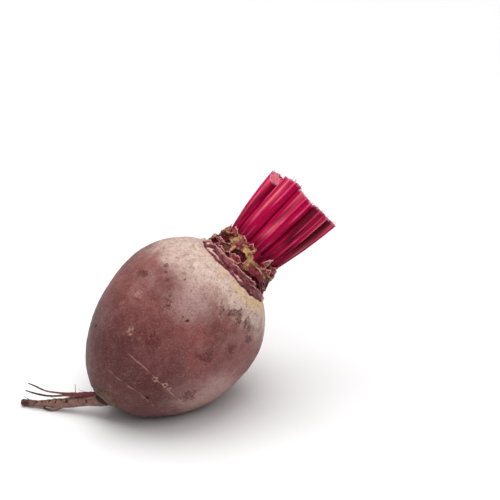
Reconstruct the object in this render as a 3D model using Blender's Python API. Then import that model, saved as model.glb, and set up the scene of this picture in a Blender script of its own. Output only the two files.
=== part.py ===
"""A trimmed beetroot lying on its side, with its crown raised.

The swollen root, its crown, its taproot and its side roots grew as one piece and are one solid. The cut
leaf stalks stand in the hollow on top of the crown, each a solid of its own. Metres, +Z up, at rest on
z = 0.

The root's own frame has +Z along its axis from tail to crown, +X towards its underside, and its origin in
the middle of its widest ring. Angles around the axis are counted from the underside.
"""

import math

import bmesh
import bpy
from mathutils import Vector

MM = 0.001

# How the root lies
AXIS_TILT = math.radians(36)
ROOT_CENTRE = Vector((-0.5, 0.0, 43.9)) * MM

# The swollen root, in two halves that meet at its widest ring
ROOT_RADIUS = 38.3 * MM
TAIL_LENGTH = 56 * MM
TAIL_TAPER = 1.12
SHOULDER_LENGTH = 36 * MM
TAIL_TURN = math.radians(5)
LIP_TURN = math.radians(147)
ROOT_RINGS = 23
ROUND_STEPS = 64

# Its unevenness: height, waves around, phase, and turn along the axis in radians per metre
LUMPS = ((0.55 * MM, 2, 0.6, 14), (0.45 * MM, 3, 2.1, -22), (0.25 * MM, 5, 4.0, 35))
SAG_DEPTH = 2.8 * MM
SAG_PLACE = -21 * MM
SAG_LENGTH = 16 * MM
SAG_WIDTH = math.radians(42)

# The skin's ragged lip and the crevice inside it: step inwards, and step along the axis from the lip's foot
LIP_STEPS = ((0.5 * MM, 0.9 * MM), (1.3 * MM, 0.7 * MM), (1.7 * MM, -1.0 * MM))
LIP_RAGGEDNESS = 0.45 * MM

# The crown, a blunt cone of old leaf bases with a hollow on top
CROWN_FOOT = -1.2 * MM
CROWN_HEIGHT = 13.5 * MM
CROWN_FOOT_RADIUS = 18.9 * MM
CROWN_TOP_RADIUS = 15.4 * MM
CROWN_RINGS = 14
HOLLOW_RADIUS = 14.4 * MM
HOLLOW_FLOOR = 10.6 * MM
HOLLOW_WALL = 0.8 * MM

# Leaf scars on the crown: height above the lip, how many, and the first one's angle
SCAR_TIERS = ((2.3 * MM, 8, 0.52), (6.6 * MM, 8, 0.74), (11.0 * MM, 7, 0.38))
SCAR_HALF_WIDTH = 4.6 * MM
SCAR_HALF_HEIGHT = 2.1 * MM
SCAR_RIM = 1.1 * MM
SCAR_PIT = 1.3 * MM

# Roots, in the frame of the surface that the part lies on: points of the centre line, and radii along it
TAPROOT = (((-38, -2, 16), (-43.8, 1.2, 11.4), (-46.6, 5.6, 8.8), (-49.4, 10.2, 7.0), (-52.8, 13.8, 5.5),
            (-57.0, 17.6, 4.1), (-61.6, 22.0, 3.0), (-66.4, 26.4, 2.1), (-71.6, 31.2, 1.7)),
           (5.4, 4.6, 3.6, 3.2, 2.7, 2.4, 2.0, 1.5, 1.35))
SIDE_ROOTS = (
    (((-43.0, 2.2, 13.2), (-46.0, 5.4, 12.2), (-49.4, 9.4, 11.0), (-52.6, 12.8, 9.6), (-56.4, 16.4, 8.8),
      (-60.6, 19.2, 8.2), (-64.3, 22.0, 8.1), (-68.0, 26.2, 8.3), (-70.8, 29.6, 8.8)),
     (1.3, 1.3, 1.25, 1.1, 0.7, 0.5, 0.5, 0.45, 0.4)),
    (((-49.6, 9.6, 10.9), (-53.4, 13.6, 10.2), (-57.4, 17.0, 9.9), (-62.6, 20.9, 10.3), (-65.4, 23.4, 11.2),
      (-68.0, 25.9, 12.6), (-70.2, 27.6, 13.6)),
     (0.6, 0.7, 0.5, 0.42, 0.4, 0.38, 0.35)),
    (((-56.6, 17.6, 3.4), (-58.0, 18.2, 1.6), (-60.4, 18.9, 0.9), (-62.8, 20.2, 0.8), (-64.6, 22.6, 1.2),
      (-65.2, 25.0, 2.2)),
     (0.45, 0.42, 0.4, 0.4, 0.4, 0.4)),
)
TAPROOT_SIDES = 14
SIDE_ROOT_SIDES = 6
ROOT_STEPS_BETWEEN_POINTS = 2

# Leaf stalks: angle around the axis in degrees, and in millimetres the distance from the axis at the foot
# and at the cut, width, thickness and length
OUTER_STALKS = (
    (154, 10.6, 15.8, 7.3, 5.0, 34.0), (194, 10.7, 13.8, 7.4, 5.1, 37.4), (234, 10.7, 13.7, 7.5, 5.1, 36.2),
    (274, 10.7, 14.4, 7.4, 5.1, 37.0), (314, 10.6, 16.0, 7.3, 5.0, 38.2), (354, 10.7, 14.6, 7.4, 5.0, 35.4),
    (34, 10.7, 14.0, 7.4, 5.0, 36.6), (74, 10.7, 13.8, 7.3, 5.0, 33.8), (114, 10.7, 14.6, 7.4, 5.0, 36.8),
)
HEART_STALKS = (
    (170, 4.3, 6.2, 5.3, 4.6, 34.6), (260, 4.3, 6.0, 5.2, 4.6, 31.0), (350, 4.3, 6.4, 5.3, 4.6, 33.4),
    (80, 4.3, 6.1, 5.2, 4.6, 28.2),
)
STALK_GAP = 0.4 * MM
STALK_POINTS = 20
HEART_STALK_POINTS = 12
STALK_RINGS = 7
STALK_KEYSTONE = 0.2
STALK_RIBS = 3
STALK_RIB_DEPTH = 0.35 * MM
STALK_CHANNEL = 0.7 * MM
STALK_BOW = 0.8 * MM
STALK_SPREAD = 0.2


def material(name, colour, roughness):
    made = bpy.data.materials.new(name)
    made.use_nodes = True
    shader = made.node_tree.nodes["Principled BSDF"]
    shader.inputs["Base Color"].default_value = (*colour, 1.0)
    shader.inputs["Roughness"].default_value = roughness
    shader.inputs["Metallic"].default_value = 0.0
    return made


def add_object(name, bm, finish):
    """A new object from bm, closed, facing out and shaded smooth but for its sharp edges."""
    bmesh.ops.recalc_face_normals(bm, faces=bm.faces)
    mesh = bpy.data.meshes.new(name)
    bm.to_mesh(mesh)
    bm.free()
    mesh.shade_smooth()
    mesh.set_sharp_from_angle(angle=math.radians(45))
    mesh.materials.append(finish)
    made = bpy.data.objects.new(name, mesh)
    bpy.context.scene.collection.objects.link(made)
    return made


def skin_rings(bm, rings):
    """Closes a stack of rings, each a list of points, into one body with a face at either end."""
    stack = [[bm.verts.new(point) for point in ring] for ring in rings]
    for lower, upper in zip(stack, stack[1:]):
        for i in range(len(lower)):
            following = (i + 1) % len(lower)
            bm.faces.new((lower[i], lower[following], upper[following], upper[i]))
    bm.faces.new(stack[0][::-1])
    bm.faces.new(stack[-1])


def around_steps(count):
    return [math.tau * i / count for i in range(count)]


def on_ring(radius, around, along):
    return Vector((radius * math.cos(around), radius * math.sin(around), along))


def root_outline(turn):
    """Place along the axis and radius of the root where its outline has turned this far from the tail."""
    if turn < math.pi / 2:
        return -TAIL_LENGTH * math.cos(turn), ROOT_RADIUS * math.sin(turn) ** TAIL_TAPER
    return -SHOULDER_LENGTH * math.cos(turn), ROOT_RADIUS * math.sin(turn)


def swelling(along, around, radius):
    """How far the skin stands out from its even shape: soft lumps, and the underside's sag."""
    lumps = 0.0
    for height, waves, phase, twist in LUMPS:
        lumps += height * math.sin(waves * around + phase + twist * along)
    off_underside = math.remainder(around, math.tau) / SAG_WIDTH
    off_place = (along - SAG_PLACE) / SAG_LENGTH
    return lumps * radius / ROOT_RADIUS + SAG_DEPTH * math.exp(-off_underside ** 2 - off_place ** 2)


def body_rings():
    """The swollen root's skin from the tail to the lip."""
    for step in range(ROOT_RINGS):
        along, radius = root_outline(TAIL_TURN + (LIP_TURN - TAIL_TURN) * step / (ROOT_RINGS - 1))
        ring = []
        for around in around_steps(ROUND_STEPS):
            ring.append(on_ring(radius + swelling(along, around, radius), around, along))
        yield ring


def lip_rings():
    """The ragged lip, which turns in and drops into the crevice round the crown."""
    lip_along, lip_radius = root_outline(LIP_TURN)
    for inwards, up in LIP_STEPS:
        ring = []
        for around in around_steps(ROUND_STEPS):
            ragged = LIP_RAGGEDNESS * (math.sin(7 * around + 1.0) + math.sin(11 * around + 2.5) * 0.6)
            radius = lip_radius + swelling(lip_along, around, lip_radius) - inwards
            ring.append(on_ring(radius, around, lip_along + up + max(up, 0.0) / (0.9 * MM) * ragged))
        yield ring


def scar_relief(height, around):
    """Leaf scars: round pits, each with a raised rim that is strongest on its lower side."""
    relief = 0.0
    for tier_height, count, first in SCAR_TIERS:
        sector = math.tau / count
        across = math.remainder(around - first, sector) * CROWN_TOP_RADIUS / SCAR_HALF_WIDTH
        upward = (height - tier_height) / SCAR_HALF_HEIGHT
        reach = math.hypot(across, upward)
        lower_side = 0.6 - 0.4 * upward / max(reach, 1.0)
        relief += SCAR_RIM * lower_side * math.exp(-((reach - 1.0) / 0.4) ** 2)
        relief -= SCAR_PIT * math.exp(-(reach / 0.6) ** 2)
    return relief


def crown_rings():
    """The crown from the crevice to its rim, then down into the hollow that holds the stalks."""
    lip_along, _ = root_outline(LIP_TURN)
    for step in range(CROWN_RINGS):
        share = step / (CROWN_RINGS - 1)
        height = CROWN_FOOT + (CROWN_HEIGHT - CROWN_FOOT) * share
        even_radius = CROWN_TOP_RADIUS + (CROWN_FOOT_RADIUS - CROWN_TOP_RADIUS) * (1 - share) ** 1.3
        fade = min(1.0, step / 2, (CROWN_RINGS - 1 - step) / 2)
        ring = []
        for around in around_steps(ROUND_STEPS):
            radius = max(even_radius + fade * scar_relief(height, around), HOLLOW_RADIUS + HOLLOW_WALL)
            ring.append(on_ring(radius, around, lip_along + height))
        yield ring
    for height in (CROWN_HEIGHT, HOLLOW_FLOOR):
        yield [on_ring(HOLLOW_RADIUS, around, lip_along + height) for around in around_steps(ROUND_STEPS)]


def smooth_route(points, radii):
    """A Catmull-Rom curve through the points, in millimetres, with the radii eased along it."""
    knots = [Vector((*point, radius)) for point, radius in zip(points, radii)]
    padded = [2 * knots[0] - knots[1], *knots, 2 * knots[-1] - knots[-2]]
    route = []
    for before, start, end, after in zip(padded, padded[1:], padded[2:], padded[3:]):
        for step in range(ROOT_STEPS_BETWEEN_POINTS):
            t = step / ROOT_STEPS_BETWEEN_POINTS
            bend = (2 * before - 5 * start + 4 * end - after) * t ** 2
            twist = (3 * start - before - 3 * end + after) * t ** 3
            route.append(0.5 * (2 * start + (end - before) * t + bend + twist))
    route.append(knots[-1])
    return [(point.xyz * MM, point.w * MM) for point in route]


def tube_rings(route, sides):
    """Rings of a round root along its route, with no twist from one ring to the next."""
    across = Vector((0, 0, 1))
    for i, (centre, radius) in enumerate(route):
        heading = (route[min(i + 1, len(route) - 1)][0] - route[max(i - 1, 0)][0]).normalized()
        across = (across - heading * across.dot(heading)).normalized()
        third = heading.cross(across)
        ring = []
        for around in around_steps(sides):
            ring.append(centre + radius * (across * math.cos(around) + third * math.sin(around)))
        yield ring


def add_root(name, points, radii, sides, finish, to_root_frame):
    bm = bmesh.new()
    skin_rings(bm, tube_rings(smooth_route(points, radii), sides))
    bm.transform(to_root_frame)
    return add_object(name, bm, finish)


def join(target, parts):
    """Unites the parts with the target in one Boolean, and removes them."""
    group = bpy.data.collections.new("parts_to_join")
    for part in parts:
        group.objects.link(part)
    union = target.modifiers.new("join_roots", "BOOLEAN")
    union.operation = "UNION"
    union.operand_type = "COLLECTION"
    union.collection = group
    united = bpy.data.meshes.new_from_object(target.evaluated_get(bpy.context.evaluated_depsgraph_get()))
    target.modifiers.clear()
    target.data = united
    for part in parts:
        bpy.data.objects.remove(part)
    bpy.data.collections.remove(group)


def flatten_underside(target, to_surface):
    """Cuts off what would sink below the surface, which leaves the flat spot that the root rests on."""
    bm = bmesh.new()
    bm.from_mesh(target.data)
    bm.transform(to_surface)
    everything = [*bm.verts, *bm.edges, *bm.faces]
    cut = bmesh.ops.bisect_plane(bm, geom=everything, plane_co=(0, 0, 0), plane_no=(0, 0, -1), clear_outer=True)
    rim = [item for item in cut["geom_cut"] if isinstance(item, bmesh.types.BMEdge)]
    bmesh.ops.holes_fill(bm, edges=rim)
    bm.transform(to_surface.inverted())
    bm.to_mesh(target.data)
    bm.free()


def add_beetroot(to_surface):
    """The swollen root with its crown and roots, as one solid."""
    finish = material("beet_skin", (0.19, 0.065, 0.062), 0.55)
    bm = bmesh.new()
    skin_rings(bm, [*body_rings(), *lip_rings(), *crown_rings()])
    beetroot = add_object("beetroot", bm, finish)
    to_root_frame = to_surface.inverted()
    roots = [add_root("taproot", *TAPROOT, TAPROOT_SIDES, finish, to_root_frame)]
    for i, root in enumerate(SIDE_ROOTS):
        roots.append(add_root(f"side_root_{i}", *root, SIDE_ROOT_SIDES, finish, to_root_frame))
    join(beetroot, roots)
    flatten_underside(beetroot, to_surface)
    return beetroot


def stalk_section(width, thickness, points, ribs):
    """A stalk's outline: +X is its ribbed back, which faces out, and -X its channelled front."""
    section = []
    for around in around_steps(points):
        back = math.cos(around)
        side = math.sin(around)
        x = thickness / 2 * math.copysign(abs(back) ** 0.8, back)
        y = width / 2 * math.copysign(abs(side) ** 0.9, side) * (1 + STALK_KEYSTONE * back)
        if back > 0:
            x += STALK_RIB_DEPTH * back * math.cos(math.tau * ribs * y / width)
        else:
            x += STALK_CHANNEL * back * back
        section.append(Vector((x, y, 0)))
    return section


def add_stalk(name, stalk, points, ribs, finish):
    """A cut leaf stalk that leans out from the axis, with its foot and its cut end square to the axis."""
    angle, foot_distance, cut_distance, width, thickness, length = stalk
    section = stalk_section(width * MM, thickness * MM, points, ribs)
    rings = []
    for step in range(STALK_RINGS):
        share = step / (STALK_RINGS - 1)
        lean = (cut_distance - foot_distance) * MM * share + STALK_BOW * math.sin(math.pi * share)
        grown = 1 + STALK_SPREAD * share
        rings.append([Vector((lean, 0, length * MM * share)) + point * grown for point in section])
    bm = bmesh.new()
    skin_rings(bm, rings)
    made = add_object(name, bm, finish)
    lip_along, _ = root_outline(LIP_TURN)
    made.location = on_ring(foot_distance * MM, math.radians(angle), lip_along + HOLLOW_FLOOR + STALK_GAP)
    made.rotation_euler = (0, 0, math.radians(angle))
    return made


def main():
    for item in list(bpy.data.objects):
        bpy.data.objects.remove(item)

    plant = bpy.data.objects.new("plant", None)
    plant.location = ROOT_CENTRE
    plant.rotation_euler = (0, math.pi / 2 - AXIS_TILT, 0)
    bpy.context.scene.collection.objects.link(plant)
    bpy.context.view_layer.update()

    pieces = [add_beetroot(plant.matrix_world.copy())]
    red = material("stalk_red", (0.42, 0.004, 0.065), 0.4)
    for i, stalk in enumerate(OUTER_STALKS, start=1):
        pieces.append(add_stalk(f"leaf_stalk_{i}", stalk, STALK_POINTS, STALK_RIBS, red))
    for i, stalk in enumerate(HEART_STALKS, start=1):
        pieces.append(add_stalk(f"heart_stalk_{i}", stalk, HEART_STALK_POINTS, 1, red))
    for piece in pieces:
        piece.parent = plant


main()
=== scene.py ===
"""A trimmed beetroot lying on a pale studio floor.

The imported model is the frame: the fine skin, crown, roots and stalks made here lie where its solids are.
Lengths are in metres. The root's own frame has +Z along its axis from tail to crown, +X towards its
underside, and its origin in the middle of its widest ring. Angles around the axis are counted from the
underside.
"""

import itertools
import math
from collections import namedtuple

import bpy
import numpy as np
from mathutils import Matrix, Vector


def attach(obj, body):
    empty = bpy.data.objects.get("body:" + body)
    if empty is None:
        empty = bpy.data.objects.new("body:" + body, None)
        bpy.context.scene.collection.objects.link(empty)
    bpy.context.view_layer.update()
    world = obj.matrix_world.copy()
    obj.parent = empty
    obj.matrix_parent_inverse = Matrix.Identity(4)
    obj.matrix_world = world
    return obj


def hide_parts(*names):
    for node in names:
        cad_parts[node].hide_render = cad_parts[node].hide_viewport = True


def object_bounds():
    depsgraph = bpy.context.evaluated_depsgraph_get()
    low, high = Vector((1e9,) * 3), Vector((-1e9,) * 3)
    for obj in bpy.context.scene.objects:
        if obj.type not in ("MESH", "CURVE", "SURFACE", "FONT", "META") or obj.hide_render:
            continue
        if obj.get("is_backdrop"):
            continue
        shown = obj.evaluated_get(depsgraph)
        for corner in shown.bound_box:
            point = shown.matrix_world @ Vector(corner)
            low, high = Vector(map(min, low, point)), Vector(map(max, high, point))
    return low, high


bl_info = {
    "name": "Trimmed Beetroot",
    "version": (1, 0, 0),
    "blender": (4, 5, 0),
    "location": "3D View > Sidebar > Beetroot",
    "description": "Builds a beetroot with its crown, cut leaf stalks and roots on a pale studio floor",
    "category": "Object",
}

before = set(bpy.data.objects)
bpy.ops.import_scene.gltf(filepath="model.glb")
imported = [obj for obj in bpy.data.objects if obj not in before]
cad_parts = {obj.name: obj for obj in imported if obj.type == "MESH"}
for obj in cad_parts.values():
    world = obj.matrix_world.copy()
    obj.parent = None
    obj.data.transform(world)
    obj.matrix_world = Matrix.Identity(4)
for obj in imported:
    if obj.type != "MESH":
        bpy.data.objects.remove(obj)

CAD_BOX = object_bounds()
MM = 0.001
TAU = math.tau

# How the root lies
AXIS_TILT = math.radians(36)
ROOT_CENTRE = Vector((-0.5, 0.0, 43.9)) * MM
ROOT_TURN = math.pi / 2 - AXIS_TILT
ROOT_POSE = Matrix.Translation(ROOT_CENTRE) @ Matrix.Rotation(ROOT_TURN, 4, "Y")

# The swollen root's unevenness: height, waves around, phase, and turn along the axis in radians per metre
LUMPS = ((0.55 * MM, 2, 0.6, 14), (0.45 * MM, 3, 2.1, -22), (0.25 * MM, 5, 4.0, 35))
# Its soft sag on the underside: depth, place along the axis, and spread along it and around it
SAG_DEPTH = 2.8 * MM
SAG_PLACE = -21 * MM
SAG_LENGTH = 16 * MM
SAG_WIDTH = math.radians(42)
# Where the skin starts beside the taproot, and how much the outline tapers there
TAIL_TURN = math.radians(4)
TAIL_TAPER = 1.12
# The fold of skin that laps over the taproot: its middle and spread, its edge's radius in millimetres where
# it doesn't lap and how much more in the middle, and where the painted shade in its crease is darkest
FOLD_AROUND = math.radians(236)
FOLD_SPREAD = math.radians(42)
FOLD_EDGE = 7.8
FOLD_LAP = 7.0
CREASE_SHADE_AROUND = math.radians(254)
# The dent beside the fold
TUCK_AROUND = math.radians(318)
TUCK_DEPTH = 2.0 * MM
# How finely the skin is divided along the axis and around it
SKIN_RINGS = 236
SKIN_STEPS = 400

# Marks on the skin. Their places along the axis, widths and radii are in millimetres, and their angles in
# degrees.
# Pale corky lines: place, drift over the line, first and last angle, half width, and strength
CORKY_LINES = (
    (-31.8, 2.4, 214, 309, 0.34, 0.85), (-43.4, 4.0, 209, 290, 0.34, 0.62),
    (-20.0, -3.0, 18, 70, 0.34, 0.7), (-36.0, 2.5, 88, 150, 0.36, 0.8),
    (3.0, 1.5, 120, 168, 0.28, 0.45), (-47.5, -1.5, 20, 95, 0.28, 0.6),
)
# Corky nodules, pits, stains and old scars: place, angle and radius
NODULES = ((-31.2, 250, 1.3), (-30.2, 260.5, 1.3), (-29.8, 266, 0.9), (-35.0, 120, 1.6),
           (-20.6, 44, 1.3), (-46.8, 60, 1.1))
PITS = ((-40.0, 264, 1.1), (-3.2, 230.5, 0.6), (-3.0, 234.6, 0.85), (-15.0, 330, 0.9), (-28.0, 20, 0.8),
        (4.0, 100, 0.9), (-33.0, 170, 0.7))
STAINS = (
    (-1.7, 186, 3.4), (-3.1, 218.5, 3.6), (3.0, 273, 3.2), (12.6, 246, 2.6), (14.8, 253, 3.0),
    (15.6, 261, 3.4), (15.8, 270, 3.6), (15.2, 278, 3.4), (12.2, 283, 3.0), (-35.0, 252, 6.5),
    (8.4, 195, 1.1), (6.2, 199, 0.9), (4.0, 205, 1.1), (1.4, 211, 1.0), (9.6, 213, 0.9),
    (-20.0, 225, 4.5), (-26.0, 285, 5.0), (-8.0, 262, 4.0), (-12.0, 60, 3.0), (6.0, 30, 2.2),
    (12.0, 120, 2.6), (-22.0, 108, 2.0), (-5.0, 140, 1.6), (10.0, 345, 2.4),
)
SCARS = ((-9.3, 196.5, 2.5), (-23.9, 210, 2.3), (-14.0, 85, 2.2), (2.0, 318, 1.8))
# Greyish pink bloom with painted light: place, angle, radius, and strength. The spots at 228 and 304 degrees
# are a painted sheen highlight where the softbox shines back, and the spot at 192 degrees near the lip is
# painted shade that greys the top. The others are bloom.
BLOOM_AND_SHEEN_SPOTS = (
    (6, 228, 15, 1.0), (-17, 304, 25, 0.95), (4, 168, 12, 0.5), (2, 70, 14, 0.7), (-14, 110, 12, 0.5),
    (0, 10, 14, 0.6), (-30, 330, 12, 0.5), (-27, 181, 12, 0.32), (-4, 190, 16, 0.4), (4, 268, 14, 0.3),
    (15, 192, 13, 0.75),
)

# The torn leaf skin below the lip: its depth, middle and spread, and the golden side of the shoulder
COLLAR_DEPTH = 3.7 * MM
COLLAR_AROUND = math.radians(236)
COLLAR_SPREAD = math.radians(58)
GOLD_AROUND = math.radians(285)

# The lip of skin round the crown, ring by ring: step inwards and step up in millimetres, how much of the
# raggedness it takes, how pale its torn edge is, and how dark the painted shade in its crevice is
LIP_STEPS = (
    (0.18, 0.45, 0.4, 0.1, 0.0), (0.42, 0.8, 0.8, 0.35, 0.0), (0.7, 0.98, 1.0, 0.6, 0.0),
    (0.98, 0.95, 1.0, 0.4, 0.0), (1.22, 0.6, 0.7, 0.1, 1.4), (1.4, 0.0, 0.3, 0.0, 1.4),
    (1.6, -0.7, 0.1, 0.0, 1.4), (2.2, -1.5, 0.0, 0.0, 1.4), (3.4, -2.2, 0.0, 0.0, 1.4),
)

# The crown. Heights are above the lip. In the tables of single marks they and the other sizes are in
# millimetres, and angles in degrees.
# Leaf scars on its front: height, angle, half width, half height, tilt, strength
FRONT_SCARS = (
    (6.0, 222, 4.3, 2.6, 0.1, 1.0), (4.6, 193, 4.2, 2.3, -0.1, 0.5), (1.5, 254, 4.6, 2.2, 0.2, 0.5),
    (2.0, 277, 4.4, 2.6, -0.1, 0.85), (11.6, 281, 3.6, 1.9, 0.15, 0.9), (1.6, 212, 4.0, 1.6, 0.1, 0.6),
)
# The other leaf scars, tier by tier: height in metres, how many, and the first one's angle in radians
SCAR_TIERS = ((2.3 * MM, 8, 0.52), (6.6 * MM, 8, 0.74), (11.0 * MM, 7, 0.38))
SCAR_HALF_WIDTH = 4.6 * MM
SCAR_HALF_HEIGHT = 2.1 * MM
# The front, which the tiers leave to the scars above: its middle and half its span
FRONT_AROUND = math.radians(236)
FRONT_HALF = math.radians(56)
# How high a scar's rim stands, and how deep its pit is
SCAR_RIM = 1.0 * MM
SCAR_PIT = 1.5 * MM
# Golden cork on its front: height, angle and radius
GOLDEN_CORK = ((12.6, 213, 2.2), (11.2, 230, 2.1), (7.4, 240, 1.5), (9.0, 287, 2.3), (10.8, 196, 1.7),
               (4.6, 244, 1.2))
# Leaf bases that run down it below the stalks: height of the foot, angle and half width
SHEATHS = ((8.6, 253, 4.6), (11.4, 213, 3.4), (9.8, 300, 4.0), (11.0, 172, 3.6), (9.4, 20, 4.4),
           (10.6, 72, 3.8), (9.0, 118, 4.2), (11.2, 342, 3.6))
# Torn remains of leaf bases on its front: angle, height, width, rise, lean and pallor
FRONT_REMAINS = ((268, 12.0, 3.4, 6.2, 0.1, 0.5), (263, 6.2, 7.4, 3.4, 0.25, 0.1),
                 (284, 9.6, 5.0, 3.6, 0.2, 0.3))
# Where the flakes along the lip are palest, and where no tongue hides the stalks' feet
RIBBON_AROUND = math.radians(200)
BARE_AROUND = math.radians(250)
# How many flakes stand along the lip, and how many tongues round the stalks' feet
LIP_FLAKES = 34
FOOT_TONGUES = 15
# Where the crown starts in the crevice below the lip, and its radius in millimetres halfway up and where leaf
# bases run down it
CROWN_FOOT = -1.4 * MM
CROWN_MIDDLE_RADIUS = 16.5
SHEATH_RADIUS = 16.0
# How dark the painted shade in the hollow that holds the stalks is, as a share of a scar's pit
HOLLOW_SHADE = 0.7
# How finely the crown is divided up it and around it
CROWN_RINGS = 120
CROWN_STEPS = 480

# Roots, in millimetres and in the part's own frame: points of the centre line, and radii along it
TAPROOT = (((-38, -2, 16), (-43.8, 1.2, 11.4), (-46.6, 5.6, 8.8), (-49.4, 10.2, 7.0), (-52.8, 13.8, 5.5),
            (-57.0, 17.6, 4.1), (-61.6, 22.0, 3.0), (-66.4, 26.4, 2.1), (-71.6, 31.2, 1.7)),
           (5.4, 3.7, 2.6, 2.6, 2.5, 2.35, 2.0, 1.55, 1.45))
# Dark notches on the taproot's front: distance along it in millimetres, angle in degrees, half span in
# radians and half width in millimetres
ROOT_NOTCHES = ((28.0, 332, 0.45, 0.8), (36.8, 5, 0.35, 0.6), (41.0, 350, 0.4, 0.7), (43.6, 336, 0.35, 0.6),
                (16.4, 309, 0.35, 0.5), (32.0, 20, 0.3, 0.4))
SIDE_ROOTS = (
    (((-43.0, 2.2, 13.2), (-46.0, 5.4, 12.2), (-49.4, 9.4, 11.0), (-52.6, 12.8, 9.6), (-56.4, 16.4, 8.8),
      (-60.6, 19.2, 8.2), (-64.3, 22.0, 8.1), (-68.0, 26.2, 8.3), (-70.8, 29.6, 8.8)),
     (0.7, 0.95, 1.15, 1.05, 0.65, 0.46, 0.46, 0.42, 0.3)),
    (((-49.6, 9.6, 10.9), (-53.4, 13.6, 10.2), (-57.4, 17.0, 9.9), (-62.6, 20.9, 10.3), (-65.4, 23.4, 11.2),
      (-68.0, 25.9, 12.6), (-70.2, 27.6, 13.6)),
     (0.6, 0.7, 0.5, 0.42, 0.4, 0.36, 0.25)),
    (((-56.6, 17.6, 3.4), (-58.0, 18.2, 1.6), (-60.4, 18.9, 0.9), (-62.8, 20.2, 0.8), (-64.6, 22.6, 1.2),
      (-65.2, 25.0, 2.2)),
     (0.45, 0.42, 0.4, 0.4, 0.4, 0.4)),
    (((-52.6, 12.8, 10.2), (-52.7, 12.9, 12.4), (-52.5, 13.1, 14.2), (-52.7, 13.0, 15.6)),
     (0.16, 0.14, 0.12, 0.09)),
    (((-68.4, 28.6, 2.8), (-69.9, 29.5, 4.0), (-71.4, 30.4, 5.4)), (0.16, 0.14, 0.1)),
)
# How many of the side roots are red where they start
RED_SIDE_ROOTS = 2
# Points round each kind of root, rings along a rootlet and a fibre, and how far out each ring of the
# taproot's blunt end lies
TAPROOT_STEPS = 80
TAPROOT_END_INSETS = (0.97, 0.85, 0.6, 0.25)
SIDE_ROOT_STEPS = 20
HAIR_STEPS = 6
ROOTLET_RINGS = 12
FIBRE_RINGS = 7

# Leaf stalks: angle around the axis in degrees; distance from the axis at the foot and at the cut, width,
# thickness and length in millimetres; and the cut's slope across the stalk
OUTER_STALKS = (
    (154, 10.6, 15.8, 7.3, 5.0, 34.0, -0.55), (194, 10.7, 13.8, 7.4, 5.1, 37.4, 0.12),
    (234, 10.7, 13.7, 7.5, 5.1, 36.2, -0.1), (274, 10.7, 14.4, 7.4, 5.1, 37.0, 0.05),
    (314, 10.6, 16.0, 7.3, 5.0, 38.2, 0.1), (354, 10.7, 14.6, 7.4, 5.0, 35.4, -0.12),
    (34, 10.7, 14.0, 7.4, 5.0, 36.6, 0.1), (74, 10.7, 13.8, 7.3, 5.0, 33.8, -0.15),
    (114, 10.7, 14.6, 7.4, 5.0, 36.8, 0.12),
)
HEART_STALKS = ((170, 4.3, 6.2, 5.3, 4.6, 34.6, 0.1), (260, 4.3, 6.0, 5.2, 4.6, 31.0, -0.1),
                (350, 4.3, 6.4, 5.3, 4.6, 33.4, 0.15), (80, 4.3, 6.1, 5.2, 4.6, 28.2, 0.0))
# How bright each stalk is, the outer ones first: partly each stalk's own tone, partly painted light and
# shade, bright on the stalks that face the light and dark on the shaded ones
STALK_TONES_AND_LIGHT = (0.65, 1.0, 0.9, 0.55, 0.45, 0.6, 0.8, 0.5, 0.9, 0.7, 0.5, 0.6, 0.8)
# Their gap above the hollow's floor, how much wider their backs are than their fronts, the depth of the
# front's channel, how far they bow outwards, how much they widen towards the cut, and how finely they are
# divided
STALK_GAP = 0.4 * MM
STALK_KEYSTONE = 0.2
STALK_CHANNEL = 0.7 * MM
STALK_BOW = 0.8 * MM
STALK_SPREAD = 0.36
STALK_STEPS = 96
STALK_RINGS = 84
# How far out each ring of a cut lies, as a share of its edge
CUT_INSETS = np.linspace(0.96, 0.03, 14)

# Colours that no setting changes: a torn ribbon of skin, torn leaf bases and the side roots' red ends as they
# show on a screen, and the floor and an unlinked socket as linear light
RIBBON_PINK = (0.86, 0.67, 0.64)
TORN_PINK = (0.62, 0.27, 0.3)
ROOT_RED = (0.4, 0.15, 0.2)
FLOOR_COLOUR = (0.92, 0.92, 0.92, 1.0)
BLACK = (0.0, 0.0, 0.0, 1.0)
# How far the speckles' cells are warped, and how far a seed of 1 shifts the strands along the stalk
SPECKLE_WARP = 1.6 * MM
STRAND_SHIFT = 0.1

# The photograph's side, and where the middle of the root's widest ring stands in it, in pixels
IMAGE_SIZE = 500
ROOT_CENTRE_PIXEL = (186, 316)
# How far the floor lies below the part, and each softbox's side and place
FLOOR_GAP = 0.2 * MM
KEY_SOFTBOX = (0.8, (-0.2, -0.95, 1.15))
TOP_SOFTBOX = (2.4, (-0.1, 0.25, 2.1))


def length_property(name, description, default):
    return bpy.props.FloatProperty(
        name=name, description=description, default=default, min=0.0, precision=4, unit="LENGTH"
    )


def colour_property(name, description, default):
    """A colour as it shows on a screen, from 0 to 1."""
    return bpy.props.FloatVectorProperty(
        name=name, description=description, default=[value / 255 for value in default], size=3, min=0.0,
        max=1.0, subtype="COLOR_GAMMA",
    )


class BeetrootRoot(bpy.types.PropertyGroup):
    """Sizes of the swollen root"""

    radius: length_property("Root radius", "Radius of the widest ring", 38.3 * MM)
    tail_length: length_property("Tail length", "From the widest ring to the tail", 56 * MM)
    shoulder_length: length_property(
        "Shoulder length", "From the widest ring to where the shoulder would close", 36 * MM
    )
    lip_turn: bpy.props.FloatProperty(
        name="Lip angle", description="How far the outline has turned from the tail at the skin's lip",
        default=math.radians(147), subtype="ANGLE",
    )
    lip_raggedness: length_property("Lip raggedness", "How far the torn lip rises and falls", 0.8 * MM)
    roughness_depth: length_property("Skin unevenness", "Height of the skin's soft lumps", 0.2 * MM)


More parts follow.
